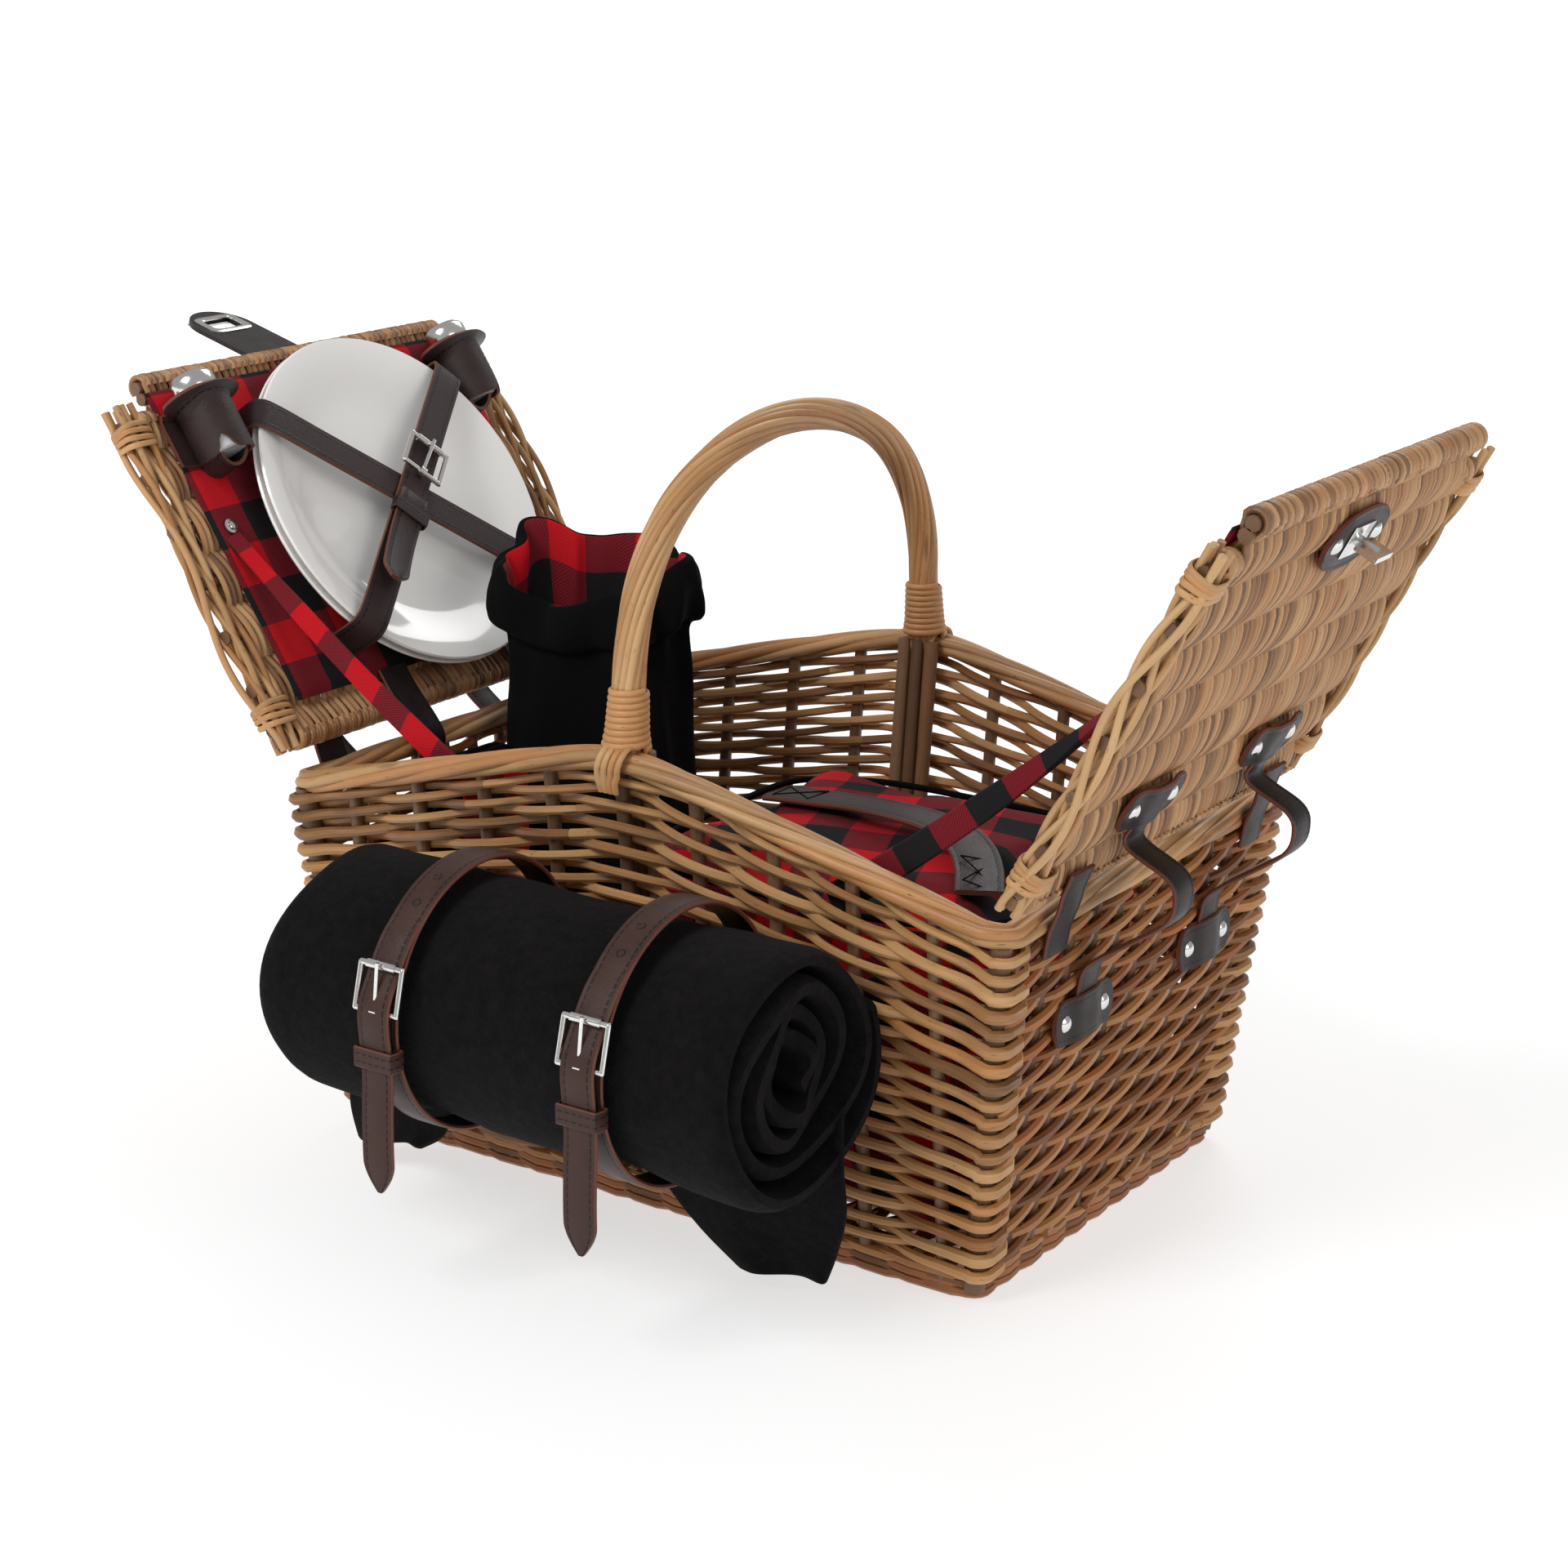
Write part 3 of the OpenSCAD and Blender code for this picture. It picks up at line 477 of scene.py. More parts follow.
brownHide = leather("brownHide", (0.042, 0.018, 0.014, 1), (0.085, 0.036, 0.025, 1), (0.012, 0.005, 0.004, 1))
plainHide = leather("plainHide", (0.016, 0.0105, 0.011, 1), (0.034, 0.018, 0.016, 1), (0.016, 0.0105, 0.011, 1),
                    0.0)
cutEdge = leather("cutEdge", (0.135, 0.045, 0.028, 1), (0.20, 0.075, 0.045, 1), (0.135, 0.045, 0.028, 1), 0.0)
blackCotton = cloth("blackCotton", (0.0015, 0.0015, 0.0018, 1), (0.0075, 0.0070, 0.0080, 1), 1500.0, 40.0,
                    0.008, 0.0003)
fleece = cloth("fleece", (0.0020, 0.0018, 0.0019, 1), (0.020, 0.0170, 0.0175, 1), 1100.0, 160.0, 0.012, 0.0013)
nickel = metal("nickel", (0.80, 0.79, 0.77, 1), 0.12)
steel = metal("steel", (0.72, 0.72, 0.73, 1), 0.22, 25.0)
whiteGlaze = glaze("whiteGlaze", (0.94, 0.93, 0.905, 1))
print("materials built")

# camera, floor and light
view = {"place": (0.8998, -1.3432, 0.6949), "yaw": 33.83, "down": 17.05, "roll": 0.53, "lens": 72.33}


def setCamera(v):
    yaw, down, roll = (math.radians(v[k]) for k in ("yaw", "down", "roll"))
    ahead = Vector((-math.sin(yaw) * math.cos(down), math.cos(yaw) * math.cos(down), -math.sin(down)))
    right = Vector((math.cos(yaw), math.sin(yaw), 0))
    up = right.cross(ahead)
    r = right * math.cos(roll) + up * math.sin(roll)
    u = up * math.cos(roll) - right * math.sin(roll)
    made = bpy.data.cameras.new("shot")
    made.lens, made.sensor_width = v["lens"], 36
    made.clip_start = 0.01
    holder = bpy.data.objects.new("shot", made)
    bpy.context.collection.objects.link(holder)
    holder.matrix_world = Matrix((r, u, -ahead)).transposed().to_4x4()
    holder.location = v["place"]
    bpy.context.scene.camera = holder


setCamera(view)
studio = {"floor": 30.0, "key": 34, "fill": 9, "rim": 16, "world": 0.40, "glow": 0.62, "paper": 0.50}


def setStudio(s):
    bpy.ops.mesh.primitive_plane_add(size=s["floor"], location=(0, 0, 0))
    floor = bpy.context.object
    floor.name = "floor"
    paper, tree, shader = newMaterial("paperFloor")
    where = placeIn(tree)
    # painted light: the floor glows, at strength glow near the middle rising to full far out, so the far floor
    # the lamps barely reach reads as bright as the lamp-lit near floor; the glow also lifts the cast shadows
    # and lights the parts from below
    far = shaderNode(tree, "ShaderNodeVectorMath", {0: where}, operation="LENGTH").outputs["Value"]
    glow = rangeOf(tree, far, 0.7, 3.2, s["glow"], 1.0)
    tree.links.new(mixOf(tree, glow, (0, 0, 0, 1), (1, 1, 1, 1)), shader.inputs["Emission Color"])
    shader.inputs["Emission Strength"].default_value = 1.0
    shade = s["paper"]
    tree.links.new(mixOf(tree, noiseOf(tree, where, 3.0), (shade, shade, shade, 1),
                         (shade * 0.97, shade * 0.97, shade * 0.97, 1)), shader.inputs["Base Color"])
    shader.inputs["Roughness"].default_value = 0.7
    floor.data.materials.append(paper)
    for name, place, size, power in (("key", (-0.5, -1.9, 2.1), 1.1, s["key"]),
                                     ("fill", (2.0, -0.5, 1.1), 1.2, s["fill"]),
                                     ("rim", (-0.4, 1.9, 1.9), 1.2, s["rim"])):
        lamp = bpy.data.lights.new(name, "AREA")
        lamp.energy, lamp.size = power, size
        holder = bpy.data.objects.new(name, lamp)
        bpy.context.collection.objects.link(holder)
        holder.location = place
        holder.rotation_euler = (Vector((0, -0.05, 0.16)) - Vector(place)).to_track_quat("-Z", "Y").to_euler()
    world = bpy.data.worlds.new("studio")
    world.use_nodes = True
    sky = world.node_tree
    seen = sky.nodes.new("ShaderNodeLightPath").outputs["Is Camera Ray"]
    strength = rangeOf(sky, seen, 0.0, 1.0, s["world"], 1.0)
    sky.links.new(strength, sky.nodes["Background"].inputs[1])
    sky.nodes["Background"].inputs[0].default_value = (1, 1, 1, 1)
    bpy.context.scene.world = world
    bpy.context.scene.view_settings.view_transform = "Standard"


setStudio(studio)
print("camera and lights set")

# basket shell
shell = {"halfLong": 0.204, "halfWide": 0.130, "leanSide": math.tan(math.radians(5.43)),
         "leanEnd": math.tan(math.radians(5.97)), "wall": 0.014, "midHigh": 0.2525, "slope": 0.2666,
         "round": 0.026}


def rimHigh(x):
    return shell["midHigh"] - shell["slope"] * (np.sqrt(np.square(x) + shell["round"] ** 2) - shell["round"])


def sideY(z):
    return shell["halfWide"] + z * shell["leanSide"] - shell["wall"] / 2


def endX(z):
    return shell["halfLong"] + z * shell["leanEnd"] - shell["wall"] / 2


longWeave = {"rows": 37, "low": 0.0135, "under": 0.0115, "stakeGap": 0.045, "stake": 0.0036, "rod": 0.00250,
             "bend": 0.0042, "loop": 0.0076, "stakes": 4}


def softStep(c):
    return np.sign(c) * np.abs(c) ** 0.75


def weaveLongWall(s, w):
    # every second row loops round the outside of the corner posts, the others tuck in behind them
    bag = newBag()
    for k in range(w["rows"]):
        t = (k + 0.5) / w["rows"]
        z0 = lambda x: w["low"] + t * (rimHigh(x) - w["under"] - w["low"])
        zEnd = float(z0(0.215))
        xc, yc = endX(zEnd) - 0.001, sideY(zEnd) - 0.001
        x = np.arange(-xc, xc + 1e-6, 2 * xc / 92)
        z = z0(x) + 0.0007 * np.sin(x * rng.uniform(18, 34) + rng.uniform(0, 6))
        outside = 1 if k % 2 == 0 else -1
        fade = np.clip((xc - np.abs(x)) / 0.022, 0, 1)
        fade = fade * fade * (3 - 2 * fade)
        ends = w["loop"] - 0.0012 if outside > 0 else -0.0072
        off = w["bend"] * softStep(np.cos(math.pi * x / w["stakeGap"] + math.pi * k)) * fade + ends * (1 - fade)
        path = xyz(x, s * (sideY(z) + off), z)
        tone = rng.uniform(0, 1)
        r = w["rod"] * rng.uniform(0.86, 1.12)
        tails = []
        for e in (-1, 1):
            if outside < 0:
                tails.append(np.array([[e * (xc + 0.004), s * (yc - 0.0085), zEnd]]))
                continue
            turn = np.radians(np.arange(12, 100, 14))
            ring = xyz(e * (xc + w["loop"] * np.sin(turn)), s * (yc + w["loop"] * np.cos(turn)),
                       zEnd - 0.0004 * turn)
            inner = np.array([[e * (xc + w["loop"] * 0.92), s * (yc - 0.011), zEnd - 0.0008],
                              [e * (xc + w["loop"] * 0.2), s * (yc - 0.021), zEnd - 0.0008]])
            tails.append(np.concatenate([ring, inner]))
        cut = rng.uniform(-0.5, 0.5) * xc
        left = np.concatenate([tails[0][::-1], path[x < cut + 0.012]])
        right = np.concatenate([path[x > cut - 0.012], tails[1]])
        taper = np.ones(len(left))
        taper[-6:] = np.linspace(1, 0.55, 6)
        fat = 1 + 0.22 * np.clip((np.abs(left[:, 0]) - xc + 0.03) / 0.03, 0, 1) * (outside > 0)
        sweep(bag, left, (0, 0, 1), circle(r, 7), tone, wide=taper * fat, thick=taper * fat)
        fat = 1 + 0.22 * np.clip((np.abs(right[:, 0]) - xc + 0.03) / 0.03, 0, 1) * (outside > 0)
        sweep(bag, right, (0, 0, 1), circle(r * rng.uniform(0.92, 1.08), 7), (tone + rng.uniform(0.1, 0.5)) % 1,
              wide=fat, thick=fat)
    for x in np.arange(-w["stakes"], w["stakes"] + 1) * w["stakeGap"]:
        z = np.linspace(0.003, float(rimHigh(x)) - 0.010, 10)
        sweep(bag, xyz(x, s * sideY(z), z), (1, 0, 0), circle(w["stake"], 8), rng.uniform(0.3, 1), mat=1)
    name = "frontWeave" if s < 0 else "backWeave"
    piece = finishMesh(name, bag, [wallWillow, stickWillow], "basket", 50)
    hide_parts("front_wall" if s < 0 else "back_wall")


endWeave = {"pitch": 0.0053, "low": 0.0145, "high": 0.190, "stakeGap": 0.0243, "stake": 0.0031, "rod": 0.00255,
            "bend": 0.0036, "climb": 0.15, "reach": 0.148, "stakes": 5}


def weaveEndWall(s, w):
    # slanting weave: each rod passes over two stakes and under one while it climbs
    bag = newBag()
    reach = w["reach"]
    starts = np.arange(w["low"] - w["climb"] * reach, w["high"] + w["climb"] * reach, w["pitch"])
    for k, zc in enumerate(starts):
        y = np.linspace(-reach, reach, 80)
        z = zc + w["climb"] * y + 0.0005 * np.sin(y * rng.uniform(20, 40) + rng.uniform(0, 6))
        angle = 2 * math.pi * (y / (3 * w["stakeGap"]) - k / 3)
        off = w["bend"] * softStep(np.cos(angle)) + 0.0016
        z = z + 0.0012 * np.sin(angle)
        keep = (z > w["low"]) & (z < w["high"]) & (np.abs(y) < sideY(z) + 0.0005)
        path = xyz(s * (endX(z) + off), y, z)[keep]
        if len(path) < 4:
            continue
        cut = len(path) * rng.randint(25, 75) // 100
        tone = rng.uniform(0, 1)
        r = w["rod"] * rng.uniform(0.9, 1.12)
        sweep(bag, path[:cut + 2], (0, 0, 1), circle(r, 7), tone)
        if len(path) - cut > 3:
            sweep(bag, path[cut:], (0, 0, 1), circle(r * rng.uniform(0.9, 1.1), 7),
                  (tone + rng.uniform(0.1, 0.5)) % 1)
    for y in np.arange(-w["stakes"], w["stakes"] + 1) * w["stakeGap"]:
        z = np.linspace(0.003, 0.192, 8)
        sweep(bag, xyz(s * endX(z), y, z), (0, 1, 0), circle(w["stake"], 8), rng.uniform(0.3, 1), mat=1)
    piece = finishMesh("leftEndWeave" if s < 0 else "rightEndWeave", bag, [endWillow, stickWillow], "basket",
                       50)
    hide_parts("left_end_wall" if s < 0 else "right_end_wall")


for s in (-1, 1):
    weaveLongWall(s, longWeave)
    weaveEndWall(s, endWeave)

posts = {"thick": 0.0056, "low": 0.006, "high": 0.194, "inside": 0.001}


def setPosts(p):
    bag = newBag()
    for sx in (-1, 1):
        for sy in (-1, 1):
            z = np.linspace(p["low"], p["high"], 12)
            path = xyz(sx * (endX(z) - p["inside"]), sy * (sideY(z) - p["inside"]), z)
            sweep(bag, path, (1, 0, 0), circle(p["thick"], 10), rng.uniform(0.3, 0.9))
    piece = finishMesh("cornerPosts", bag, [stickWillow], "basket", 50)
    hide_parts("wall_stakes")


setPosts(posts)
print("walls woven")

border = {"rods": 5, "thick": 0.0031, "wide": 0.0052, "high": 0.0034, "turns": 5.0, "corner": 0.010}


def rimLoop(count=300):
    pts = []
    for s, sign in ((-1, 1), (1, -1)):
        x = np.linspace(-1, 1, 90) * sign
        xe = endX(0.1955) - border["corner"]
        xs = x * xe
        z = rimHigh(xs) - 0.0048
        pts.append(xyz(xs, s * sideY(z), z))
        a = np.radians(np.linspace(8, 82, 8))
        zc = float(rimHigh(xe)) - 0.0048
        drop = np.linspace(0, 1, 8) * 0.0024
        cx, cy = sign * xe, s * (float(sideY(zc)) - border["corner"])
        pts.append(xyz(cx + sign * border["corner"] * np.sin(a), cy + s * border["corner"] * np.cos(a),
                       zc - drop))
        ye = float(sideY(0.196)) - border["corner"] - 0.002
        y = np.linspace(s * ye, -s * ye, 44)
        zz = np.full(44, zc - 0.0024)
        pts.append(xyz(sign * np.full(44, endX(0.1955)), y, zz))
        pts.append(xyz(cx + sign * border["corner"] * np.sin(a[::-1]),
                       -cy - s * border["corner"] * np.cos(a[::-1]), zc - drop[::-1]))
    return np.concatenate(pts)


def layBorder(b):
    bag = newBag()
    core = rimLoop()
    tang = unitRows(np.roll(core, -1, 0) - np.roll(core, 1, 0))
    out = unitRows(np.cross(tang, np.array([0, 0, 1.0])))
    up = np.cross(out, tang)
    run = lengthAlong(core)
    turn = run / (run[-1] + 0.004) * 2 * math.pi * b["turns"]
    for k in range(b["rods"]):
        a = turn + 2 * math.pi * k / b["rods"]
        path = core + out * (b["wide"] * np.cos(a))[:, None] + up * (b["high"] * np.sin(a))[:, None]
        sweep(bag, path, (0, 0, 1), circle(b["thick"] * rng.uniform(0.92, 1.08), 8), rng.uniform(0, 0.9),
              closed=True)
    piece = finishMesh("rimBorder", bag, [rimWillow], "basket", 60)
    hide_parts("rim_sides", "rim_ends")


layBorder(border)

foot = {"rod": 0.0027, "levels": (0.0031, 0.0078, 0.0122), "corner": 0.013}


def layFoot(f):
    # rods twined round the foot of all four walls
    bag = newBag()
    for zc in f["levels"]:
        xe, ye = endX(zc) + 0.001, sideY(zc) + 0.001
        c = f["corner"]
        pts = []
        for q in range(4):
            sx, sy = ((1, -1), (1, 1), (-1, 1), (-1, -1))[q]
            a = np.radians(np.linspace(-90 + 90 * q, 90 * q, 7))
            pts.append(np.stack([sx * (xe - c) + c * np.cos(a), sy * (ye - c) + c * np.sin(a)], 1))
            nx, ny = ((1, 1), (-1, 1), (-1, -1), (1, -1))[q]
            if q % 2 == 0:
                end = np.array([nx * xe, ny * (ye - c)])
            else:
                end = np.array([nx * (xe - c), ny * ye])
            pts.append(np.linspace(pts[-1][-1], end, 30)[1:-1])
        ring = np.concatenate(pts)
        run = lengthAlong(ring)
        for strand in (0, 1):
            wave = np.sin(run / run[-1] * 2 * math.pi * 27 + math.pi * strand)
            mid = ring / np.linalg.norm(ring, axis=1, keepdims=True)
            path = xyz(ring[:, 0] + mid[:, 0] * 0.0022 * wave, ring[:, 1] + mid[:, 1] * 0.0022 * wave,
                       zc + 0.0006 * np.cos(run / run[-1] * 2 * math.pi * 27 + math.pi * strand))
            sweep(bag, path, (0, 0, 1), circle(f["rod"] * rng.uniform(0.92, 1.06), 7), rng.uniform(0, 1),
                  closed=True)
    piece = finishMesh("footWale", bag, [endWillow], "basket", 50)


layFoot(foot)

floorWeave = {"sticks": 7, "rod": 0.0029, "pitch": 0.0068}


def weaveBase(w):
    bag = newBag()
    ys = np.linspace(-0.100, 0.100, w["sticks"])
    for y in ys:
        sweep(bag, [(-0.192, y, 0.0065), (0, y, 0.0065), (0.192, y, 0.0065)], (0, 1, 0), circle(0.0036, 8),
              rng.uniform(0.2, 0.9), mat=1)
    for k, x in enumerate(np.arange(-0.190, 0.191, w["pitch"])):
        y = np.linspace(-0.118, 0.118, 50)
        wave = np.cos(math.pi * np.interp(y, ys, range(w["sticks"])) + math.pi * k)
        sweep(bag, xyz(x, y, 0.0066 + 0.0030 * wave), (1, 0, 0), circle(w["rod"], 6), rng.uniform(0, 1))
    piece = finishMesh("baseWeave", bag, [endWillow, stickWillow], "basket", 50)
    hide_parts("base_panel")


weaveBase(floorWeave)
print("rim and base done")

# carrying handle
bow = {"rods": 12, "rod": 0.0024, "ring": 0.0062, "turns": 1.35, "top": 0.398, "r1": 0.190, "r2": 0.0997,
       "t1": 25, "t2": 85}


def bowPath(b, extra=0.0):
    a1, a2 = math.radians(b["t1"]), math.radians(b["t2"])
    side = []
    for a in np.linspace(0, a1, 14):
        side.append((b["r1"] * math.sin(a), b["top"] - b["r1"] + b["r1"] * math.cos(a)))
    cx, cz = (b["r1"] - b["r2"]) * math.sin(a1), b["top"] - b["r1"] + (b["r1"] - b["r2"]) * math.cos(a1)
    for a in np.linspace(a1, a2, 26)[1:]:
        side.append((cx + b["r2"] * math.sin(a), cz + b["r2"] * math.cos(a)))
    y, z = side[-1]
    for d in np.linspace(0, 1, 10)[1:]:
        run = d * (z - 0.250 + extra) / math.sin(a2)
        side.append((y + run * math.cos(a2), z - run * math.sin(a2)))
    side = np.array(side)
    front = xyz(0, -side[:, 0], side[:, 1])[::-1]
    back = xyz(0, side[:, 0], side[:, 1])[1:]
    return np.concatenate([front, back])


def bendBow(b):
    bag = newBag()
    core = bowPath(b)
    steps = np.linalg.norm(np.diff(core, axis=0), axis=1)
    run = np.concatenate([[0], np.cumsum(steps)])
    dense = np.linspace(0, run[-1], 130)
    core = np.stack([np.interp(dense, run, core[:, q]) for q in range(3)], 1)
    tang = unitRows(np.gradient(core, axis=0))
    side = np.tile([1.0, 0, 0], (len(core), 1))
    up = np.cross(tang, side)
    turn = dense / run[-1] * 2 * math.pi * b["turns"]
    for k in range(b["rods"]):
        a = turn + 2 * math.pi * k / b["rods"]
        ring = b["ring"] * (1 + 0.05 * math.sin(k * 2.1))
        path = core + side * (ring * np.cos(a))[:, None] + up * (ring * np.sin(a))[:, None]
        sweep(bag, path, (1, 0, 0.01), circle(b["rod"] * rng.uniform(0.9, 1.12), 8), rng.uniform(0, 0.8))
    sweep(bag, core, (1, 0, 0.01), circle(0.0052, 8), 0.8)
    piece = finishMesh("twistedBow", bag, [bowWillow], "basket", 60)
    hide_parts("handle_arch")


bendBow(bow)

binding = {"turns": 9, "skein": 0.0030, "low": 0.2535, "high": 0.283}


def bindFoot(s, w):
    bag = newBag()
    foot = bowPath(bow)[0 if s < 0 else -1]
    lean = s * math.tan(math.radians(5))
    sect = circle(1.0, 8)
    flat = (sect[0] * np.array([w["skein"] * 0.62, 0.0012]), sect[1] * 0.002)
    a = np.linspace(0, 2 * math.pi * w["turns"], w["turns"] * 22)
    z = np.linspace(w["low"], w["high"], len(a))
    grow = np.interp(z, [w["low"], w["low"] + 0.008, w["high"]], [0.0118, 0.0104, 0.0092])
    y0 = foot[1] - lean * (z - foot[2])
    path = xyz(grow * np.cos(a), y0 + grow * np.sin(a), z)
    out = xyz(0, 0, np.ones(len(a)))
    sweep(bag, path, out, flat, 0.25)
    # lashing over the rim, front and inside
    for q, x in enumerate((-0.0062, -0.0022, 0.0020, 0.0060)):
        t = np.linspace(0, 1, 16)
        ang = np.radians(200 - 220 * t)
        yy = s * (0.1466 + 0.0118 * np.cos(ang))
        zz = 0.2465 + 0.0100 * np.sin(ang)
        top = xyz(x + 0.002 * np.sin(t * 3), yy, zz)
        tail = np.array([[x * 0.85, s * 0.1580, 0.240], [x * 0.7, s * 0.1560, 0.2335]])
        sweep(bag, np.concatenate([top, tail]), (1, 0, 0),
              (sect[0] * np.array([0.0019, 0.0012]), sect[1] * 0.002), 0.2 + 0.1 * q)
    piece = finishMesh("footBinding" + ("Front" if s < 0 else "Back"), bag, [bowWillow], "basket", 60)
    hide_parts("handle_wrap_front" if s < 0 else "handle_wrap_back")


for s in (-1, 1):
    bindFoot(s, binding)

cores = {"gap": 0.0086, "inside": 0.0118, "low": 0.030, "high": 0.251, "thick": 0.0041}


def setCores(c):
    # three sticks a side run from the handle down inside the wall
    bag = newBag()
    for s in (-1, 1):
        for k in (-1, 0, 1):
            z = np.linspace(c["low"], c["high"], 9)
            path = xyz(k * c["gap"], s * (sideY(z) - c["inside"]), z)
            sweep(bag, path, (1, 0, 0), circle(c["thick"], 9), rng.uniform(0, 0.8))
    piece = finishMesh("bowCores", bag, [stickWillow], "basket", 60)
    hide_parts("handle_core_sticks")


setCores(cores)
print("handle bent")

# lids
lid = {"hingeX": 0.222, "hingeZ": 0.2115, "leftOpen": 124, "rightOpen": 118,
       "sticks": [0.009, 0.040, 0.072, 0.104, 0.136, 0.168, 0.199],
       "tip": 0.220, "halfWide": 0.150, "tipHalf": 0.125, "stick": 0.0038, "rod": 0.00185,
       "pitch": 0.00238, "bend": 0.0047}


def onLid(s, pts):
    # s is -1 for the left lid and 1 for the right; pts are (from hinge, y, outward)
    pts = np.asarray(pts, float)
    a = math.radians(lid["leftOpen"] if s < 0 else lid["rightOpen"])
    u, z = pts[..., 0], pts[..., 2]
    x = -lid["hingeX"] + u * math.cos(a) - z * math.sin(a)
    return np.stack([s * -x, pts[..., 1], lid["hingeZ"] + u * math.sin(a) + z * math.cos(a)], -1)


def lidDir(s, v):
    return onLid(s, v) - onLid(s, (0, 0, 0))


def weaveLid(s):
    body = "left_lid" if s < 0 else "right_lid"
    name = "left" if s < 0 else "right"
    bag = newBag()
    yAxis = (0, 1, 0)
    sticks = lid["sticks"] + [lid["tip"]]
    j = 0
    y = -lid["halfWide"] + 0.0135
    while y < lid["halfWide"] - 0.0135:
        # each rod rolls round the first and last cross stick and turns back under itself
        far = sticks[-1] if abs(y) < lid["tipHalf"] - 0.001 else sticks[-2]
        u = np.linspace(sticks[0], far, 54)
        at = np.interp(u, sticks, range(len(sticks)))
        wave = lid["bend"] * softStep(np.cos(math.pi * at + math.pi * j))
        roll = lid["bend"] + 0.0012
        turn = np.radians(np.arange(15, 200, 20))
        tip = np.sign(wave[-1])
        heel = np.sign(wave[0])
        endArc = np.stack([far + roll * np.sin(turn), tip * roll * np.cos(turn)], 1)
        startArc = np.stack([sticks[0] - roll * np.sin(turn), heel * roll * np.cos(turn)], 1)[::-1]
        flat = np.concatenate([startArc, np.stack([u, wave], 1), endArc])
        side = 0.0005 * np.sin(flat[:, 0] * rng.uniform(30, 70) + rng.uniform(0, 6))
        side += 0.0009 * np.sin(math.pi * np.interp(flat[:, 0], sticks, range(len(sticks))) + math.pi * j)
        path = xyz(flat[:, 0], y + side, flat[:, 1])
        sweep(bag, onLid(s, path), yAxis, circle(lid["rod"] * rng.uniform(0.88, 1.12), 6), rng.uniform(0, 1))
        y += lid["pitch"] * rng.uniform(0.9, 1.1)
        j += 1
    piece = finishMesh(name + "LidWeave", bag, [lidWillow], body, 60)
    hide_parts(name + "_lid_panel")
    bag = newBag()
    for k, u in enumerate(sticks):
        half = lid["halfWide"] if k < len(sticks) - 1 else lid["tipHalf"]
        for extra in ((0.0, 0.0068) if k in (0, len(sticks) - 1) else (0.0,)):
            ys = np.linspace(-half, half, 14)
            path = xyz(u + (extra if k == 0 else -extra), ys, 0.0)
            sweep(bag, onLid(s, path), lidDir(s, (1, 0, 0)), circle(lid["stick"] * rng.uniform(0.92, 1.05), 9),
                  rng.uniform(0.2, 0.9))
    for e in (-1, 1):
        ends = lid["sticks"][-1] + 0.012
        for q in range(7):
            u = np.linspace(0.003, ends, 60)
            at = np.interp(u, lid["sticks"], range(len(lid["sticks"])))
            over = 0.0053 * np.cos(math.pi * (at / 2 + 0.25 + 0.5 * q))
            path = xyz(u, e * (0.1385 + 0.0022 * q + 0.0010 * np.sin(u * 28 + q * 2)), over)
            sweep(bag, onLid(s, path), yAxis, circle(0.0020, 7), rng.uniform(0, 0.9), mat=1)
    piece = finishMesh(name + "LidSticks", bag, [stickWillow, rimWillow], body, 60)
    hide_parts(name + "_lid_sticks")
    bag = newBag()
    sect = circle(1.0, 7)
    flat = (sect[0] * np.array([0.0017, 0.0011]), sect[1] * 0.002)
    for u0 in (0.024, 0.192):
        for e in (-1, 1):
            for k in range(4):
                a = np.linspace(0, 2 * math.pi, 24)[:-1]
                yy = e * (0.1430 + 0.0098 * np.sign(np.cos(a)) * np.abs(np.cos(a)) ** 0.6)
                zz = 0.0079 * np.sign(np.sin(a)) * np.abs(np.sin(a)) ** 0.6
                path = xyz(u0 + (k - 1.5) * 0.0033 + 0.0012 * np.sin(a + k), yy, zz)
                sweep(bag, onLid(s, path), lidDir(s, (1, 0, 0)), flat, 0.1 + 0.15 * k, closed=True)
    piece = finishMesh(name + "Lashings", bag, [rimWillow], body, 60, outward=True)
    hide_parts(name + "_lid_lashings")


for s in (-1, 1):
    weaveLid(s)
print("lids woven")

lining = {"low": 0.026, "high": 0.214, "half": 0.127, "back": 0.0061, "thick": 0.0013, "rows": 40, "cols": 52}


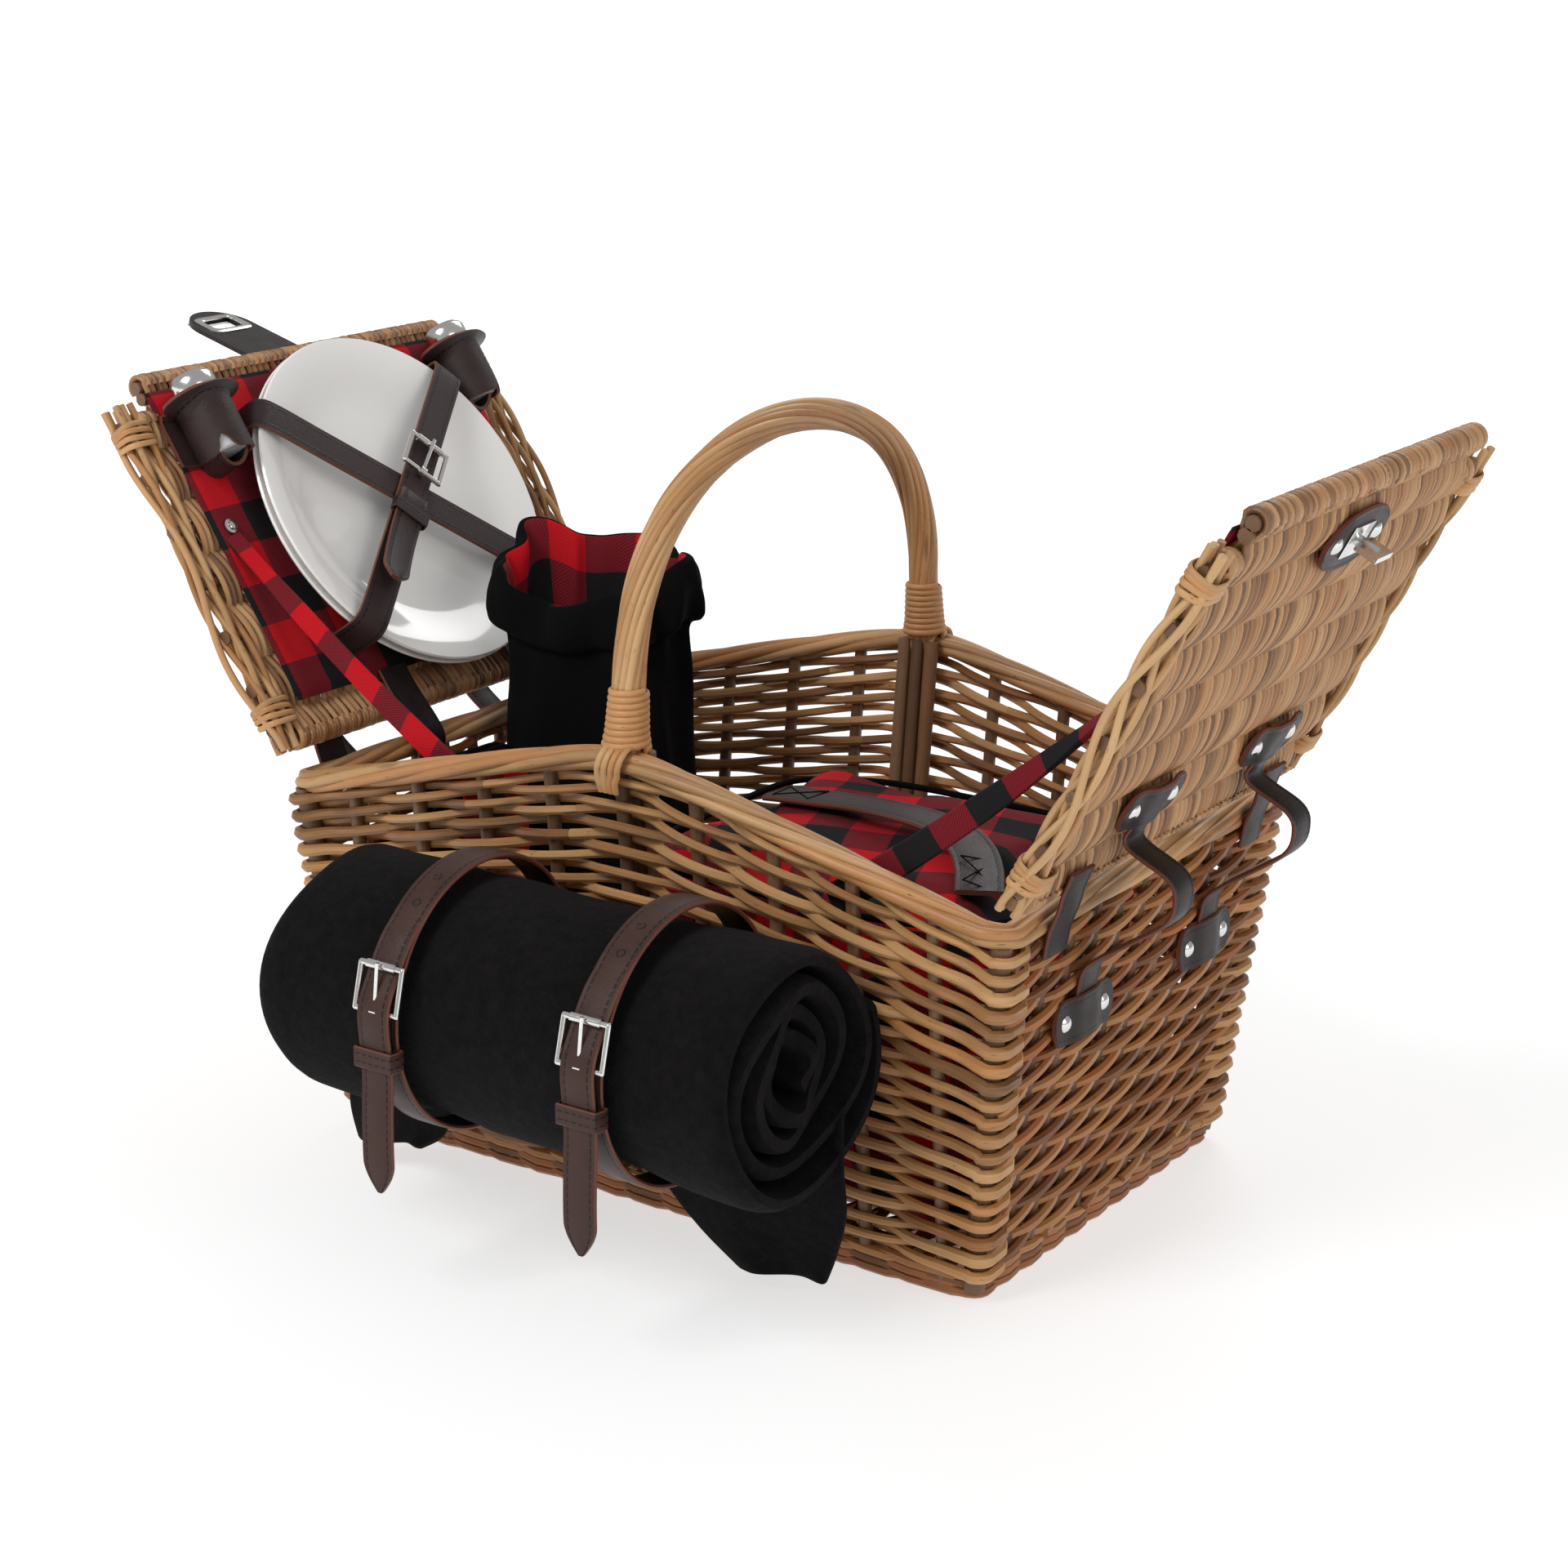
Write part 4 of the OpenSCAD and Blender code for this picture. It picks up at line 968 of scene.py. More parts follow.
def sewLining(s, v):
    # a flat cloth with a turned hem; faces grow from the hem inwards
    bag = newBag()
    u = np.linspace(v["low"], v["high"], v["rows"])
    y = np.linspace(-v["half"], v["half"], v["cols"])
    uu, yy = np.meshgrid(u, y, indexing="ij")
    edge = np.minimum(np.minimum(uu - v["low"], v["high"] - uu), v["half"] - np.abs(yy))
    hem = 0.0005 * np.exp(-((edge - 0.006) / 0.002) ** 2)
    puff = 0.0005 * np.sin(uu * 95) * np.sin(yy * 70) * np.clip(edge / 0.02, 0, 1)
    top = -(v["back"] + 0.0005 + v["thick"] * np.clip(edge / 0.001, 0, 1) + hem + np.abs(puff))
    low = np.full_like(top, -v["back"])
    uv = np.stack([uu, yy + 0.5], -1)
    front = onLid(s, np.stack([uu, yy, top], -1))
    back = onLid(s, np.stack([uu, yy, low], -1))
    grid(bag, front, uv)
    grid(bag, back[:, ::-1], uv[:, ::-1])
    r, c = uu.shape
    ring = [(0, q) for q in range(c)] + [(p, c - 1) for p in range(1, r)] + [(r - 1, q) for q in range(c - 2,
            -1, -1)] + [(p, 0) for p in range(r - 2, 0, -1)]
    rimTop = np.array([front[p, q] for p, q in ring])
    rimLow = np.array([back[p, q] for p, q in ring])
    ruv = np.array([uv[p, q] for p, q in ring])
    grid(bag, np.stack([rimTop, rimLow]), np.stack([ruv, ruv]), wrapU=True)
    name = "left" if s < 0 else "right"
    piece = finishMesh(name + "Lining", bag, [plaidCloth], name + "_lid", 60, outward=True)
    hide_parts(name + "_lid_lining")


for s in (-1, 1):
    sewLining(s, lining)

# leather tabs, straps and loops
tabs = {"long": 0.057, "wide": 0.024, "thick": 0.0026, "side": 0.065, "high": 0.138, "onLid": 0.050}


def ovalTab(bag, place, across, arch=0.0):
    # a stitched tab with round ends, lying along y; place maps rows of (u, y, lift)
    y = np.linspace(-0.5, 0.5, 29) * tabs["long"]
    reach = np.clip((tabs["long"] / 2 - np.abs(y)) / 0.007, 0, 1)
    wide = np.sqrt(np.clip(1 - (1 - reach) ** 2, 0.10, 1))
    lift = tabs["thick"] / 2 + 0.0003 + arch * np.exp(-(y / 0.0135) ** 4)
    sweep(bag, place(xyz(0, y, lift)), across, bandSection(tabs["wide"], tabs["thick"]),
          rng.uniform(0, 1), wide=wide, sideMat=1)


def wallTabs():
    bag = newBag()
    for s in (-1, 1):
        for y0 in (-tabs["side"], tabs["side"]):
            def place(p):
                z = tabs["high"] + p[:, 0]
                return xyz(s * (endX(z) + 0.007 + 0.0003 + p[:, 2]), y0 + p[:, 1], z)
            ovalTab(bag, place, (0, 0, 1 if s < 0 else -1), 0.0026)
    piece = finishMesh("wallTabs", bag, [darkHide, cutEdge], "basket", 40, outward=True)
    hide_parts("wall_tabs")


def lidTabs(s):
    bag = newBag()
    name = "left" if s < 0 else "right"
    for y0 in (-tabs["side"], tabs["side"]):
        ovalTab(bag, lambda p: onLid(s, xyz(tabs["onLid"] + p[:, 0], y0 + p[:, 1], 0.0062 + p[:, 2])),
                lidDir(s, (1, 0, 0)), 0.0028)
    if s < 0:
        u = np.linspace(0.194, 0.2252, 12)
        wide = np.interp(u, [0.194, 0.197, 0.202], [0.80, 0.95, 1.0])
        path = onLid(s, xyz(u, 0, 0.0076))
        sweep(bag, path, (0, 1, 0), bandSection(0.050, 0.0025), 0.4, wide=wide, sideMat=1)
    piece = finishMesh(name + "Tabs", bag, [darkHide, cutEdge], name + "_lid", 40, outward=True)
    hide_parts(name + "_lid_tabs")


wallTabs()
for s in (-1, 1):
    lidTabs(s)


def smoothPath(points, count):
    # Catmull-Rom through the points, evenly spaced
    p = np.asarray(points, float)
    p = np.concatenate([[2 * p[0] - p[1]], p, [2 * p[-1] - p[-2]]])
    out = []
    for a, b, c, d in zip(p[:-3], p[1:-2], p[2:-1], p[3:]):
        t = np.linspace(0, 1, 24, endpoint=False)[:, None]
        out.append(0.5 * (2 * b + (c - a) * t + (2 * a - 5 * b + 4 * c - d) * t ** 2
                          + (3 * b - a - 3 * c + d) * t ** 3))
    out.append(p[-2][None])
    out = np.concatenate(out)
    run = lengthAlong(out)
    at = np.linspace(0, run[-1], count)
    return np.stack([np.interp(at, run, out[:, q]) for q in range(3)], 1)


slack = {"wide": 0.0195, "thick": 0.0022, "loopWide": 0.022, "loopSide": 0.104, "innerSide": 0.052}


def outerStraps(s):
    name = "left" if s < 0 else "right"
    bag = newBag()
    for y0 in (-tabs["side"], tabs["side"]):
        pts = [onLid(s, (u, 0, z)) for u, z in ((0.060, 0.0074), (0.050, 0.0076), (0.038, 0.0086),
                                                (0.027, 0.0112))]
        pts += [np.array((s * x, 0, z)) for x, z in ((0.2675, 0.2175), (0.2715, 0.2065), (0.2665, 0.195),
                                                     (0.246, 0.180),
                                                     (0.2265, 0.166), (0.2220, 0.153), (0.2198, 0.140),
                                                     (0.2190, 0.128))]
        pts = np.array(pts)
        pts[:, 1] = y0
        sweep(bag, smoothPath(pts, 70), (0, 1, 0), bandSection(slack["wide"], slack["thick"], 0.0026),
              rng.uniform(0, 1), sideMat=1)
    piece = finishMesh(name + "OuterStraps", bag, [darkHide, cutEdge], None, 40, outward=True)
    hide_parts("outer_straps_" + name)
    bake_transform(piece)


def hingeLoops(s):
    name = "left" if s < 0 else "right"
    bag = newBag()
    for y0 in (-slack["loopSide"], slack["loopSide"]):
        pts = [onLid(s, (u, 0, z)) for u, z in ((0.020, 0.0078), (0.008, 0.009))]
        pts += [np.array((s * x, 0, z)) for x, z in ((0.2315, 0.206), (0.2270, 0.194), (0.2245, 0.181))]
        pts = np.array(pts)
        pts[:, 1] = y0
        sweep(bag, smoothPath(pts, 30), (0, 1, 0), bandSection(slack["loopWide"], slack["thick"], 0.0026),
              rng.uniform(0, 1), sideMat=1)
    for y0 in (-slack["innerSide"], slack["innerSide"]):
        pts = [onLid(s, (u, 0, z)) for u, z in ((0.028, -0.0085), (0.014, -0.0090))]
        pts += [np.array((s * x, 0, z)) for x, z in ((0.2030, 0.205), (0.2035, 0.192), (0.2030, 0.172))]
        pts = np.array(pts)
        pts[:, 1] = y0
        sweep(bag, smoothPath(pts, 30), (0, 1, 0), bandSection(slack["loopWide"], slack["thick"], 0.0026),
              rng.uniform(0, 1), sideMat=1)
        spot = np.array([s * 0.2016, y0, 0.186])
        lathe(bag, [(0.0, 0.0), (0.0042, 0.0), (0.0040, 0.0009), (0.0026, 0.0020), (0.0, 0.0024)],
              lambda q, spot=spot: spot + xyz(-s * q[:, 2], q[:, 0], q[:, 1]), 16, mat=2)
    piece = finishMesh(name + "HingeLoops", bag, [darkHide, cutEdge, nickel], None, 40, outward=True)
    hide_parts("hinge_loops_" + name)
    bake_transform(piece)


support = {"left": (0.123, -0.097, 0.206), "right": (0.118, 0.118, 0.194), "half": 0.0080, "thick": 0.0015}


def supportStrap(s):
    # from a place on the lid, u from the hinge, down to (x, z) on the front wall
    name = "left" if s < 0 else "right"
    u, footX, footZ = support[name]
    head = onLid(s, (u, -0.118, -0.0085))
    foot = np.array((footX, -0.1335, footZ))
    n = 48
    t = np.linspace(0, 1, n)[:, None]
    sag = np.zeros((n, 3))
    sag[:, 2] = -0.004 * np.sin(t[:, 0] * math.pi)
    path = head + (foot - head) * t + sag
    start = lidDir(s, (1, 0, 0)) * 0.75 + np.array((0, 0.6, 0))
    run = unitRows((foot - head)[None])[0]
    end = np.cross(run, (0, 1.0, 0))
    mix = np.clip((t - 0.05) / 0.5, 0, 1)
    mix = mix * mix * (3 - 2 * mix)
    if np.dot(start, end) < 0:
        end = -end
    across = start * (1 - mix) + end * mix
    bag = newBag()
    w, h = support["half"], support["thick"]
    pts = np.array([(w, 0), (w - 0.001, h), (0, h * 1.2), (-w + 0.001, h), (-w, 0), (-w + 0.001, -h),
                    (0, -h * 1.2), (w - 0.001, -h)])
    v = np.array([0, 0.001, w, 2 * w - 0.001, 2 * w, 2 * w + 0.001, 3 * w, 4 * w - 0.001, 4 * w])
    grow = np.interp(t[:, 0], [0, 0.15, 0.5, 1], [0.62, 0.58, 0.85, 1.05])
    sweep(bag, path, across, (pts, v + 0.008), 0.2, wide=grow, thick=1.25 - 0.3 * grow)
    if s < 0:
        snap = onLid(-1, (u + 0.006, -0.1165, -0.0092))
        out = lidDir(-1, (0, 0, -1))
        flat = lidDir(-1, (1, 0, 0))
        lathe(bag, [(0.0, 0.0), (0.0042, 0.0), (0.0042, 0.0008), (0.0026, 0.0012), (0.0024, 0.0022),
                    (0.0012, 0.0028), (0.0, 0.0029)],
              lambda q: snap + q[:, :1] * flat + q[:, 1:2] * np.cross(out, flat) + q[:, 2:] * out, 20, mat=1)
    piece = finishMesh(name + "SupportStrap", bag, [plaidCloth, nickel], None, 50, outward=True)
    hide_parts("support_strap_" + name)
    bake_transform(piece)


for s in (-1, 1):
    outerStraps(s)
    hingeLoops(s)
    supportStrap(s)
print("straps cut")

# plates and shakers
plates = {"centre": 0.115, "radius": 0.1016, "first": 0.0080, "step": 0.0056}


def throwPlate(name, node, low):
    p = plates["radius"]
    profile = [(0.0, 0.0015), (0.054, 0.0015), (0.056, 0.0), (0.060, 0.0), (0.063, 0.0022), (0.074, 0.0052),
               (0.086, 0.0105),
               (0.095, 0.0130), (p - 0.0006, 0.0149), (p, 0.0160), (p - 0.0008, 0.0170), (0.0985, 0.0168),
               (0.088, 0.0140), (0.080, 0.0112),
               (0.072, 0.0080), (0.064, 0.0062), (0.055, 0.0053), (0.030, 0.0050), (0.0, 0.0050)]
    bag = newBag()
    lathe(bag, profile, lambda q: onLid(-1, xyz(plates["centre"] + q[:, 0], -q[:, 1], -low - q[:, 2])), 120)
    piece = finishMesh(name, bag, [whiteGlaze], "left_lid", 40, outward=True)
    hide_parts(node)


throwPlate("plateBehind", "plate_back", plates["first"])
throwPlate("plateInFront", "plate_front", plates["first"] + plates["step"])

cross = {"reach": 0.1055, "top": 0.0335, "wide": 0.0195, "thick": 0.0024, "keeper": -0.020}


def plateStraps(c):
    bag = newBag()
    for a, n in ((-50, c["top"]), (50, c["top"] + 0.0026)):
        a = math.radians(a)
        r = [-c["reach"], -c["reach"] - 0.0003, -c["reach"] + 0.002, -0.095, -0.06, -0.02, 0.02, 0.06, 0.095,
             c["reach"] - 0.002, c["reach"] + 0.0003, c["reach"]]
        h = [0.0085, n - 0.008, n - 0.0025, n, n, n, n, n, n, n - 0.0025, n - 0.008, 0.0085]
        path = [(plates["centre"] + q * math.cos(a), q * math.sin(a), -k) for q, k in zip(r, h)]
        sweep(bag, smoothPath(onLid(-1, path), 90), lidDir(-1, (-math.sin(a), math.cos(a), 0)),
              bandSection(c["wide"], c["thick"]), 0.3, sideMat=1)
    a = math.radians(50)
    path = []
    for q, k in ((-0.006, 0.0405), (-0.012, 0.0412), (-0.022, 0.0408), (-0.040, 0.0410), (-0.060, 0.0432),
                 (-0.075, 0.0465)):
        path.append((plates["centre"] + q * math.cos(a), q * math.sin(a), -k))
    wide = np.ones(40)
    wide[-5:] = (0.97, 0.88, 0.72, 0.5, 0.3)
    sweep(bag, smoothPath(onLid(-1, path), 40), lidDir(-1, (-math.sin(a), math.cos(a), 0)),
          bandSection(c["wide"] - 0.001, c["thick"]), 0.6, wide=wide, sideMat=1)
    # keeper loop just beyond the buckle
    q = c["keeper"]
    ring = [(-0.0112, 0.0385), (0.0112, 0.0385), (0.0116, 0.0400), (0.0112, 0.0432), (-0.0112, 0.0432),
            (-0.0116, 0.0400)]
    path = [(plates["centre"] + q * math.cos(a) - t * math.sin(a), q * math.sin(a) + t * math.cos(a), -k) for t,
            k in ring]
    sweep(bag, onLid(-1, path), lidDir(-1, (math.cos(a), math.sin(a), 0)), bandSection(0.009, 0.0014, 0.002),
          0.5, closed=True)
    piece = finishMesh("plateStraps", bag, [plateHide, cutEdge], "left_lid", 40, outward=True)
    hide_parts("plate_straps")


plateStraps(cross)

sleeve = {"y": 0.107, "n": 0.0223, "low": 0.1635, "high": 0.1985, "radius": 0.0142, "hide": 0.0021}


def sewSleeves(v):
    # one strip of hide wrapped round each shaker: flared lip at the top, open loop at the foot
    bag = newBag()
    for e in (-1, 1):
        n = 44
        a = np.linspace(-math.radians(205), math.radians(205), n)
        reach = np.abs(a) / math.radians(205)
        r = v["radius"] + 0.0006
        ring = np.stack([e * v["y"] + r * np.sin(a * 0.86), -v["n"] - r * np.cos(a * 0.86)], 1)
        wing = np.clip((reach - 0.80) / 0.20, 0, 1)
        sideOf = np.sign(a)
        ring[:, 0] = ring[:, 0] * (1 - wing) + (e * v["y"] + sideOf * (0.0135 + 0.0085 * wing)) * wing
        ring[:, 1] = np.minimum(ring[:, 1] * (1 - wing) - 0.0095 * wing, -0.0092)
        rows = []
        for h in np.linspace(0, 1, 12):
            lip = 0.0085 * np.clip((h - 0.86) / 0.14, 0, 1) ** 1.5
            flare = np.stack([np.sin(a * 0.86) * lip * 1.4, -np.abs(np.cos(a * 0.86)) * lip * 0.35], 1)
            low = v["low"] + 0.004 * np.clip(reach * 2 - 1, 0,
                                             1) + 0.0105 * np.exp(-((a - e * 0.75) / 0.32) ** 2)
            high = v["high"] + 0.001 + 0.0025 * np.cos(a)
            u = low + (high - low) * h
            rows.append(xyz(u, ring[:, 0] + flare[:, 0], ring[:, 1] + flare[:, 1]))
        pts = np.array(rows)
        run = lengthAlong(ring)
        drop = np.linspace(0.034, 0.0, 12)
        uv = np.stack([np.tile(run, (12, 1)), np.repeat(drop[:, None], n, 1)], -1)
        grid(bag, onLid(-1, pts), uv)
        # the loop that holds the foot of the shaker
        t = np.linspace(0, math.pi, 22)
        foot = xyz(v["low"] + 0.006 - 0.0115 * np.sin(t), e * v["y"] - e * 0.002 + 0.0105 * np.cos(t),
                   np.full(22, -v["n"] - 0.006) + 0.004 * np.sin(t))
        loop = np.stack([foot, foot + np.array([0, 0, 0.017])])
        grid(bag, onLid(-1, loop), np.stack([np.tile(np.linspace(0, 0.04, 22), (2, 1)),
                                             np.repeat(np.array([[0.0], [0.017]]), 22, 1)], -1))
    piece = finishMesh("shakerHolsters", bag, [plateHide, cutEdge], None, 60)
    applyModifier(piece, "SOLIDIFY", thickness=v["hide"], offset=0, material_offset_rim=1)
    bpy.ops.object.shade_smooth_by_angle(angle=math.radians(50))
    piece.select_set(False)
    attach(piece, "left_lid")
    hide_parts("shaker_pouches")


sewSleeves(sleeve)


def clearPlastic(name, color):
    made, tree, shader = newMaterial(name)
    where = placeIn(tree)
    cloud = noiseOf(tree, where, 120.0, 2)
    tree.links.new(mixOf(tree, cloud, color, tuple(c * 0.8 for c in color[:3]) + (1,)),
                   shader.inputs["Base Color"])
    tree.links.new(rangeOf(tree, cloud, 0.3, 0.7, 0.10, 0.22), shader.inputs["Roughness"])
    shader.inputs["Coat Weight"].default_value = 0.5
    return made


frosted = clearPlastic("frostedPlastic", (0.62, 0.62, 0.64, 1))


shaker = {"radius": 0.0128, "foot": 0.1655}


def turnShaker(e, name):
    bag = newBag()
    r = shaker["radius"]
    place = lambda q: onLid(-1, xyz(shaker["foot"] + q[:, 2], e * sleeve["y"] + q[:, 0],
                                    -sleeve["n"] + q[:, 1]))
    lathe(bag, [(0, 0), (r - 0.001, 0), (r, 0.001), (r, 0.034), (r - 0.0005, 0.0356), (0, 0.0356)], place, 40)
    body = finishMesh(name + "Body", bag, [frosted], None, 40, outward=True)
    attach(body, name)
    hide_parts(name + "_shaker")
    bag = newBag()
    lathe(bag, [(0, 0.0361), (r - 0.0004, 0.0361), (r + 0.0002, 0.037), (r + 0.0002, 0.044),
                (r - 0.001, 0.0463), (r - 0.0035, 0.0482), (0.004, 0.0486), (0, 0.0486)], place, 40)
    for k in range(5):
        a = k * 2 * math.pi / 5
        x, y = 0.0045 * math.cos(a), 0.0045 * math.sin(a)
        lathe(bag, [(0.0009, 0.0482), (0.0010, 0.04885), (0.0006, 0.04885), (0.0005, 0.0482)], lambda q, x=x,
              y=y: place(q + np.array([x, y, 0])), 8)
    cap = finishMesh(name + "Cap", bag, [nickel], None, 40, outward=True)
    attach(cap, name)
    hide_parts(name + "_cap")


turnShaker(-1, "salt")
turnShaker(1, "pepper")
print("table ware set")

# rolled blanket
roll = {"left": -0.128, "right": 0.158, "y": -0.215, "z": 0.140, "radius": 0.0665, "core": 0.010, "turns": 4.2,
        "sheet": 0.0105,
        "belts": (-0.040, 0.082)}


def rollBlanket(r):
    bag = newBag()
    n = 300
    a = np.linspace(0, r["turns"] * 2 * math.pi, n)
    mid = np.linspace(r["core"], r["radius"] - r["sheet"] / 2, n)
    start = math.radians(-60)
    ang = a + start
    outer = mid + r["sheet"] / 2
    inner = mid - r["sheet"] / 2 + 0.0009
    xs = np.concatenate([[r["left"] + 0.002], np.linspace(r["left"] + 0.006, r["right"] - 0.006, 60),
                         [r["right"] - 0.002]])
    pinch = np.zeros(len(xs))
    for x0 in r["belts"]:
        pinch += 0.0030 * np.exp(-((xs - x0) / 0.016) ** 2)
    edge = np.clip(1 - np.minimum(xs - r["left"], r["right"] - xs) / 0.014, 0, 1)
    ends = 0.009 * (1 - np.sqrt(1 - edge * edge * 0.98))
    rows = []
    for k, x in enumerate(xs):
        share = (mid / mid.max()) ** 1.5
        bulge = 0.0011 * np.sin(x * 55 + ang * 3) + 0.0010 * np.sin(x * 23 - ang * 2)
        ro = outer + (0.0034 - pinch[k] + bulge) * share - ends[k] * (0.25 + 0.75 * share)
        ri = np.minimum(inner + (0.0034 - pinch[k] + bulge) * share + ends[k] * 0.30, ro - 0.002)
        far = (abs(x - 0.015) / 0.143) ** 6
        wob = (0.0042 * np.sin(ang * 1.3 + (2 if x > 0 else 0)) + 0.0022 * np.sin(ang * 3.1)) * far
        wob = wob - np.sign(x - 0.015) * 0.0075 * (1 - share) * far
        top = xyz(x + wob, r["y"] + ro * np.cos(ang), r["z"] + ro * np.sin(ang))
        low = xyz(x + wob, r["y"] + ri * np.cos(ang), r["z"] + ri * np.sin(ang))
        rows.append(np.concatenate([top, low[::-1]]))
    pts = np.array(rows)
    run = np.concatenate([a * mid, (a * mid)[::-1]])
    uv = np.stack([np.tile(run, (len(xs), 1)), np.repeat(xs[:, None], 2 * n, 1)], -1)
    grid(bag, pts, uv, wrapU=True)
    m = 2 * n
    for row, flip in ((0, False), (len(xs) - 1, True)):
        for q in range(n - 1):
            f = [row * m + q, row * m + q + 1, row * m + m - 2 - q, row * m + m - 1 - q]
            bag["faces"].append(f[::-1] if flip else f)
            bag["uvs"].append(np.zeros((4, 2)))
            bag["mats"].append(0)
    piece = finishMesh("blanketRoll", bag, [fleece], "basket", 60, outward=True)
    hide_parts("blanket_roll")


rollBlanket(roll)

corner = {"thick": 0.0045}


def hangCorner(name, outline):
    # a loose corner of the blanket: rows of (x, z) left and right edges, waving in y
    bag = newBag()
    rows = len(outline)
    cols = 22
    t = np.linspace(0, 1, cols)
    pts = []
    for k, (l, q, yl, yr) in enumerate(outline):
        l, q = np.array(l), np.array(q)
        x = l[0] + (q[0] - l[0]) * t
        z = l[1] + (q[1] - l[1]) * t
        y = yl + (yr - yl) * t + 0.004 * np.sin(t * 8 + k * 0.7) * k / rows
        pts.append(xyz(x, y, z))
    pts = np.array(pts)
    dense = np.array([smoothPath(pts[:, c], 26) for c in range(cols)]).transpose(1, 0, 2)
    uv = np.stack(np.meshgrid(np.linspace(0, 0.1, 26), t * 0.08, indexing="ij"), -1)
    grid(bag, dense, uv)
    piece = finishMesh(name, bag, [fleece], None, 80)
    applyModifier(piece, "SOLIDIFY", thickness=corner["thick"], offset=0)
    applyModifier(piece, "SUBSURF", levels=1, render_levels=1)
    piece.select_set(False)
    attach(piece, "basket")
    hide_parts("blanket_roll")


hangCorner("blanketCornerRight", [((0.052, 0.100), (0.155, 0.112), -0.176, -0.178),
                                                  ((0.048, 0.078), (0.160, 0.084), -0.186, -0.186),
                                                ((0.050, 0.056), (0.161, 0.058), -0.186, -0.184),
                                                  ((0.068, 0.030), (0.153, 0.034), -0.180, -0.178),
                                                ((0.096, 0.010), (0.146, 0.016), -0.176, -0.176)])
hangCorner("blanketCornerLeft", [((-0.122, 0.120), (-0.060, 0.108), -0.166, -0.172),
                                                 ((-0.140, 0.092), (-0.070, 0.080), -0.172, -0.180),
                                              ((-0.156, 0.062), (-0.084, 0.056), -0.172, -0.180),
                                                 ((-0.166, 0.036), (-0.094, 0.034), -0.170, -0.176),
                                              ((-0.160, 0.012), (-0.112, 0.022), -0.168, -0.174)])

belts = {"wide": 0.0198, "thick": 0.0024, "r": 0.0686, "keeper": (0.1265, 0.0105)}


def cutBelts(b):
    bag = newBag()
    for x0 in roll["belts"]:
        def onBelt(radius, degrees):
            t = math.radians(degrees)
            return x0, roll["y"] - radius * math.cos(t), roll["z"] + radius * math.sin(t)
        a = np.radians(np.linspace(0, 360, 97)[:-1])
        ring = xyz(x0, roll["y"] + b["r"] * np.cos(a), roll["z"] + b["r"] * np.sin(a))
        sweep(bag, ring, (1, 0, 0), bandSection(b["wide"], b["thick"], 0.0026), 0.3, closed=True, sideMat=1)
        pts = [onBelt(*q) for q in ((0.0690, 46), (0.0703, 37), (0.0711, 28), (0.0724, 20), (0.0748, 12),
                                    (0.0752, 5))]
        y1 = roll["y"] - 0.0745
        pts += [(x0, y1 + 0.0008, 0.131), (x0 + 0.0005, y1 + 0.0012, 0.117), (x0 + 0.001, y1 - 0.0002, 0.098),
                (x0 + 0.0012, y1 - 0.0008, 0.078), (x0 + 0.0014, y1, 0.058)]
        wide = np.ones(70)
        wide[-8:] = (0.99, 0.94, 0.86, 0.76, 0.63, 0.48, 0.32, 0.14)
        path = smoothPath(pts, 70)
        sweep(bag, path, (1, 0, 0), bandSection(b["wide"] - 0.0006, b["thick"], 0.0026), 0.5, wide=wide,
              sideMat=1)
        z, h = b["keeper"]
        hw = b["wide"] / 2 + 0.0016
        loop = [(x0 + p, y1 + q, z) for p, q in ((-hw, 0.0068), (hw, 0.0068), (hw + 0.0004, 0.003),
                                                 (hw - 0.0002, -0.0014), (-hw + 0.0002, -0.0014),
                                                 (-hw - 0.0004, 0.003))]
        sweep(bag, loop, (0, 0, 1), bandSection(h, 0.0016, 0.0022), 0.5, closed=True, sideMat=1)
        for degrees in (54, 69):
            cx, cy, cz = onBelt(b["r"] + b["thick"] / 2, degrees)
            t = math.radians(degrees)
            out, run = np.array([0, -math.cos(t), math.sin(t)]), np.array([0, math.sin(t), math.cos(t)])
            lathe(bag, [(0.0, -0.0006), (0.0013, -0.0006), (0.0016, 0.0), (0.0021, 0.0003), (0.0025, 0.0)],
                  lambda q: np.array([cx, cy, cz]) + q[:, :1] * np.array([1.0, 0, 0]) + q[:, 1:2] * run
                  + q[:, 2:] * out, 14, mat=2)
    piece = finishMesh("blanketBelts", bag, [brownHide, cutEdge, darkHide], "basket", 40, outward=True)
    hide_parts("blanket_straps")


cutBelts(belts)
print("blanket rolled")

# wine pouch
pouch = {"cx": -0.136, "cy": 0.020, "halfX": 0.057, "halfY": 0.032, "low": 0.0095, "high": 0.306}


def squarish(a, hx, hy, power=0.62):
    c, s = np.cos(a), np.sin(a)
    return hx * np.sign(c) * np.abs(c) ** power, hy * np.sign(s) * np.abs(s) ** power


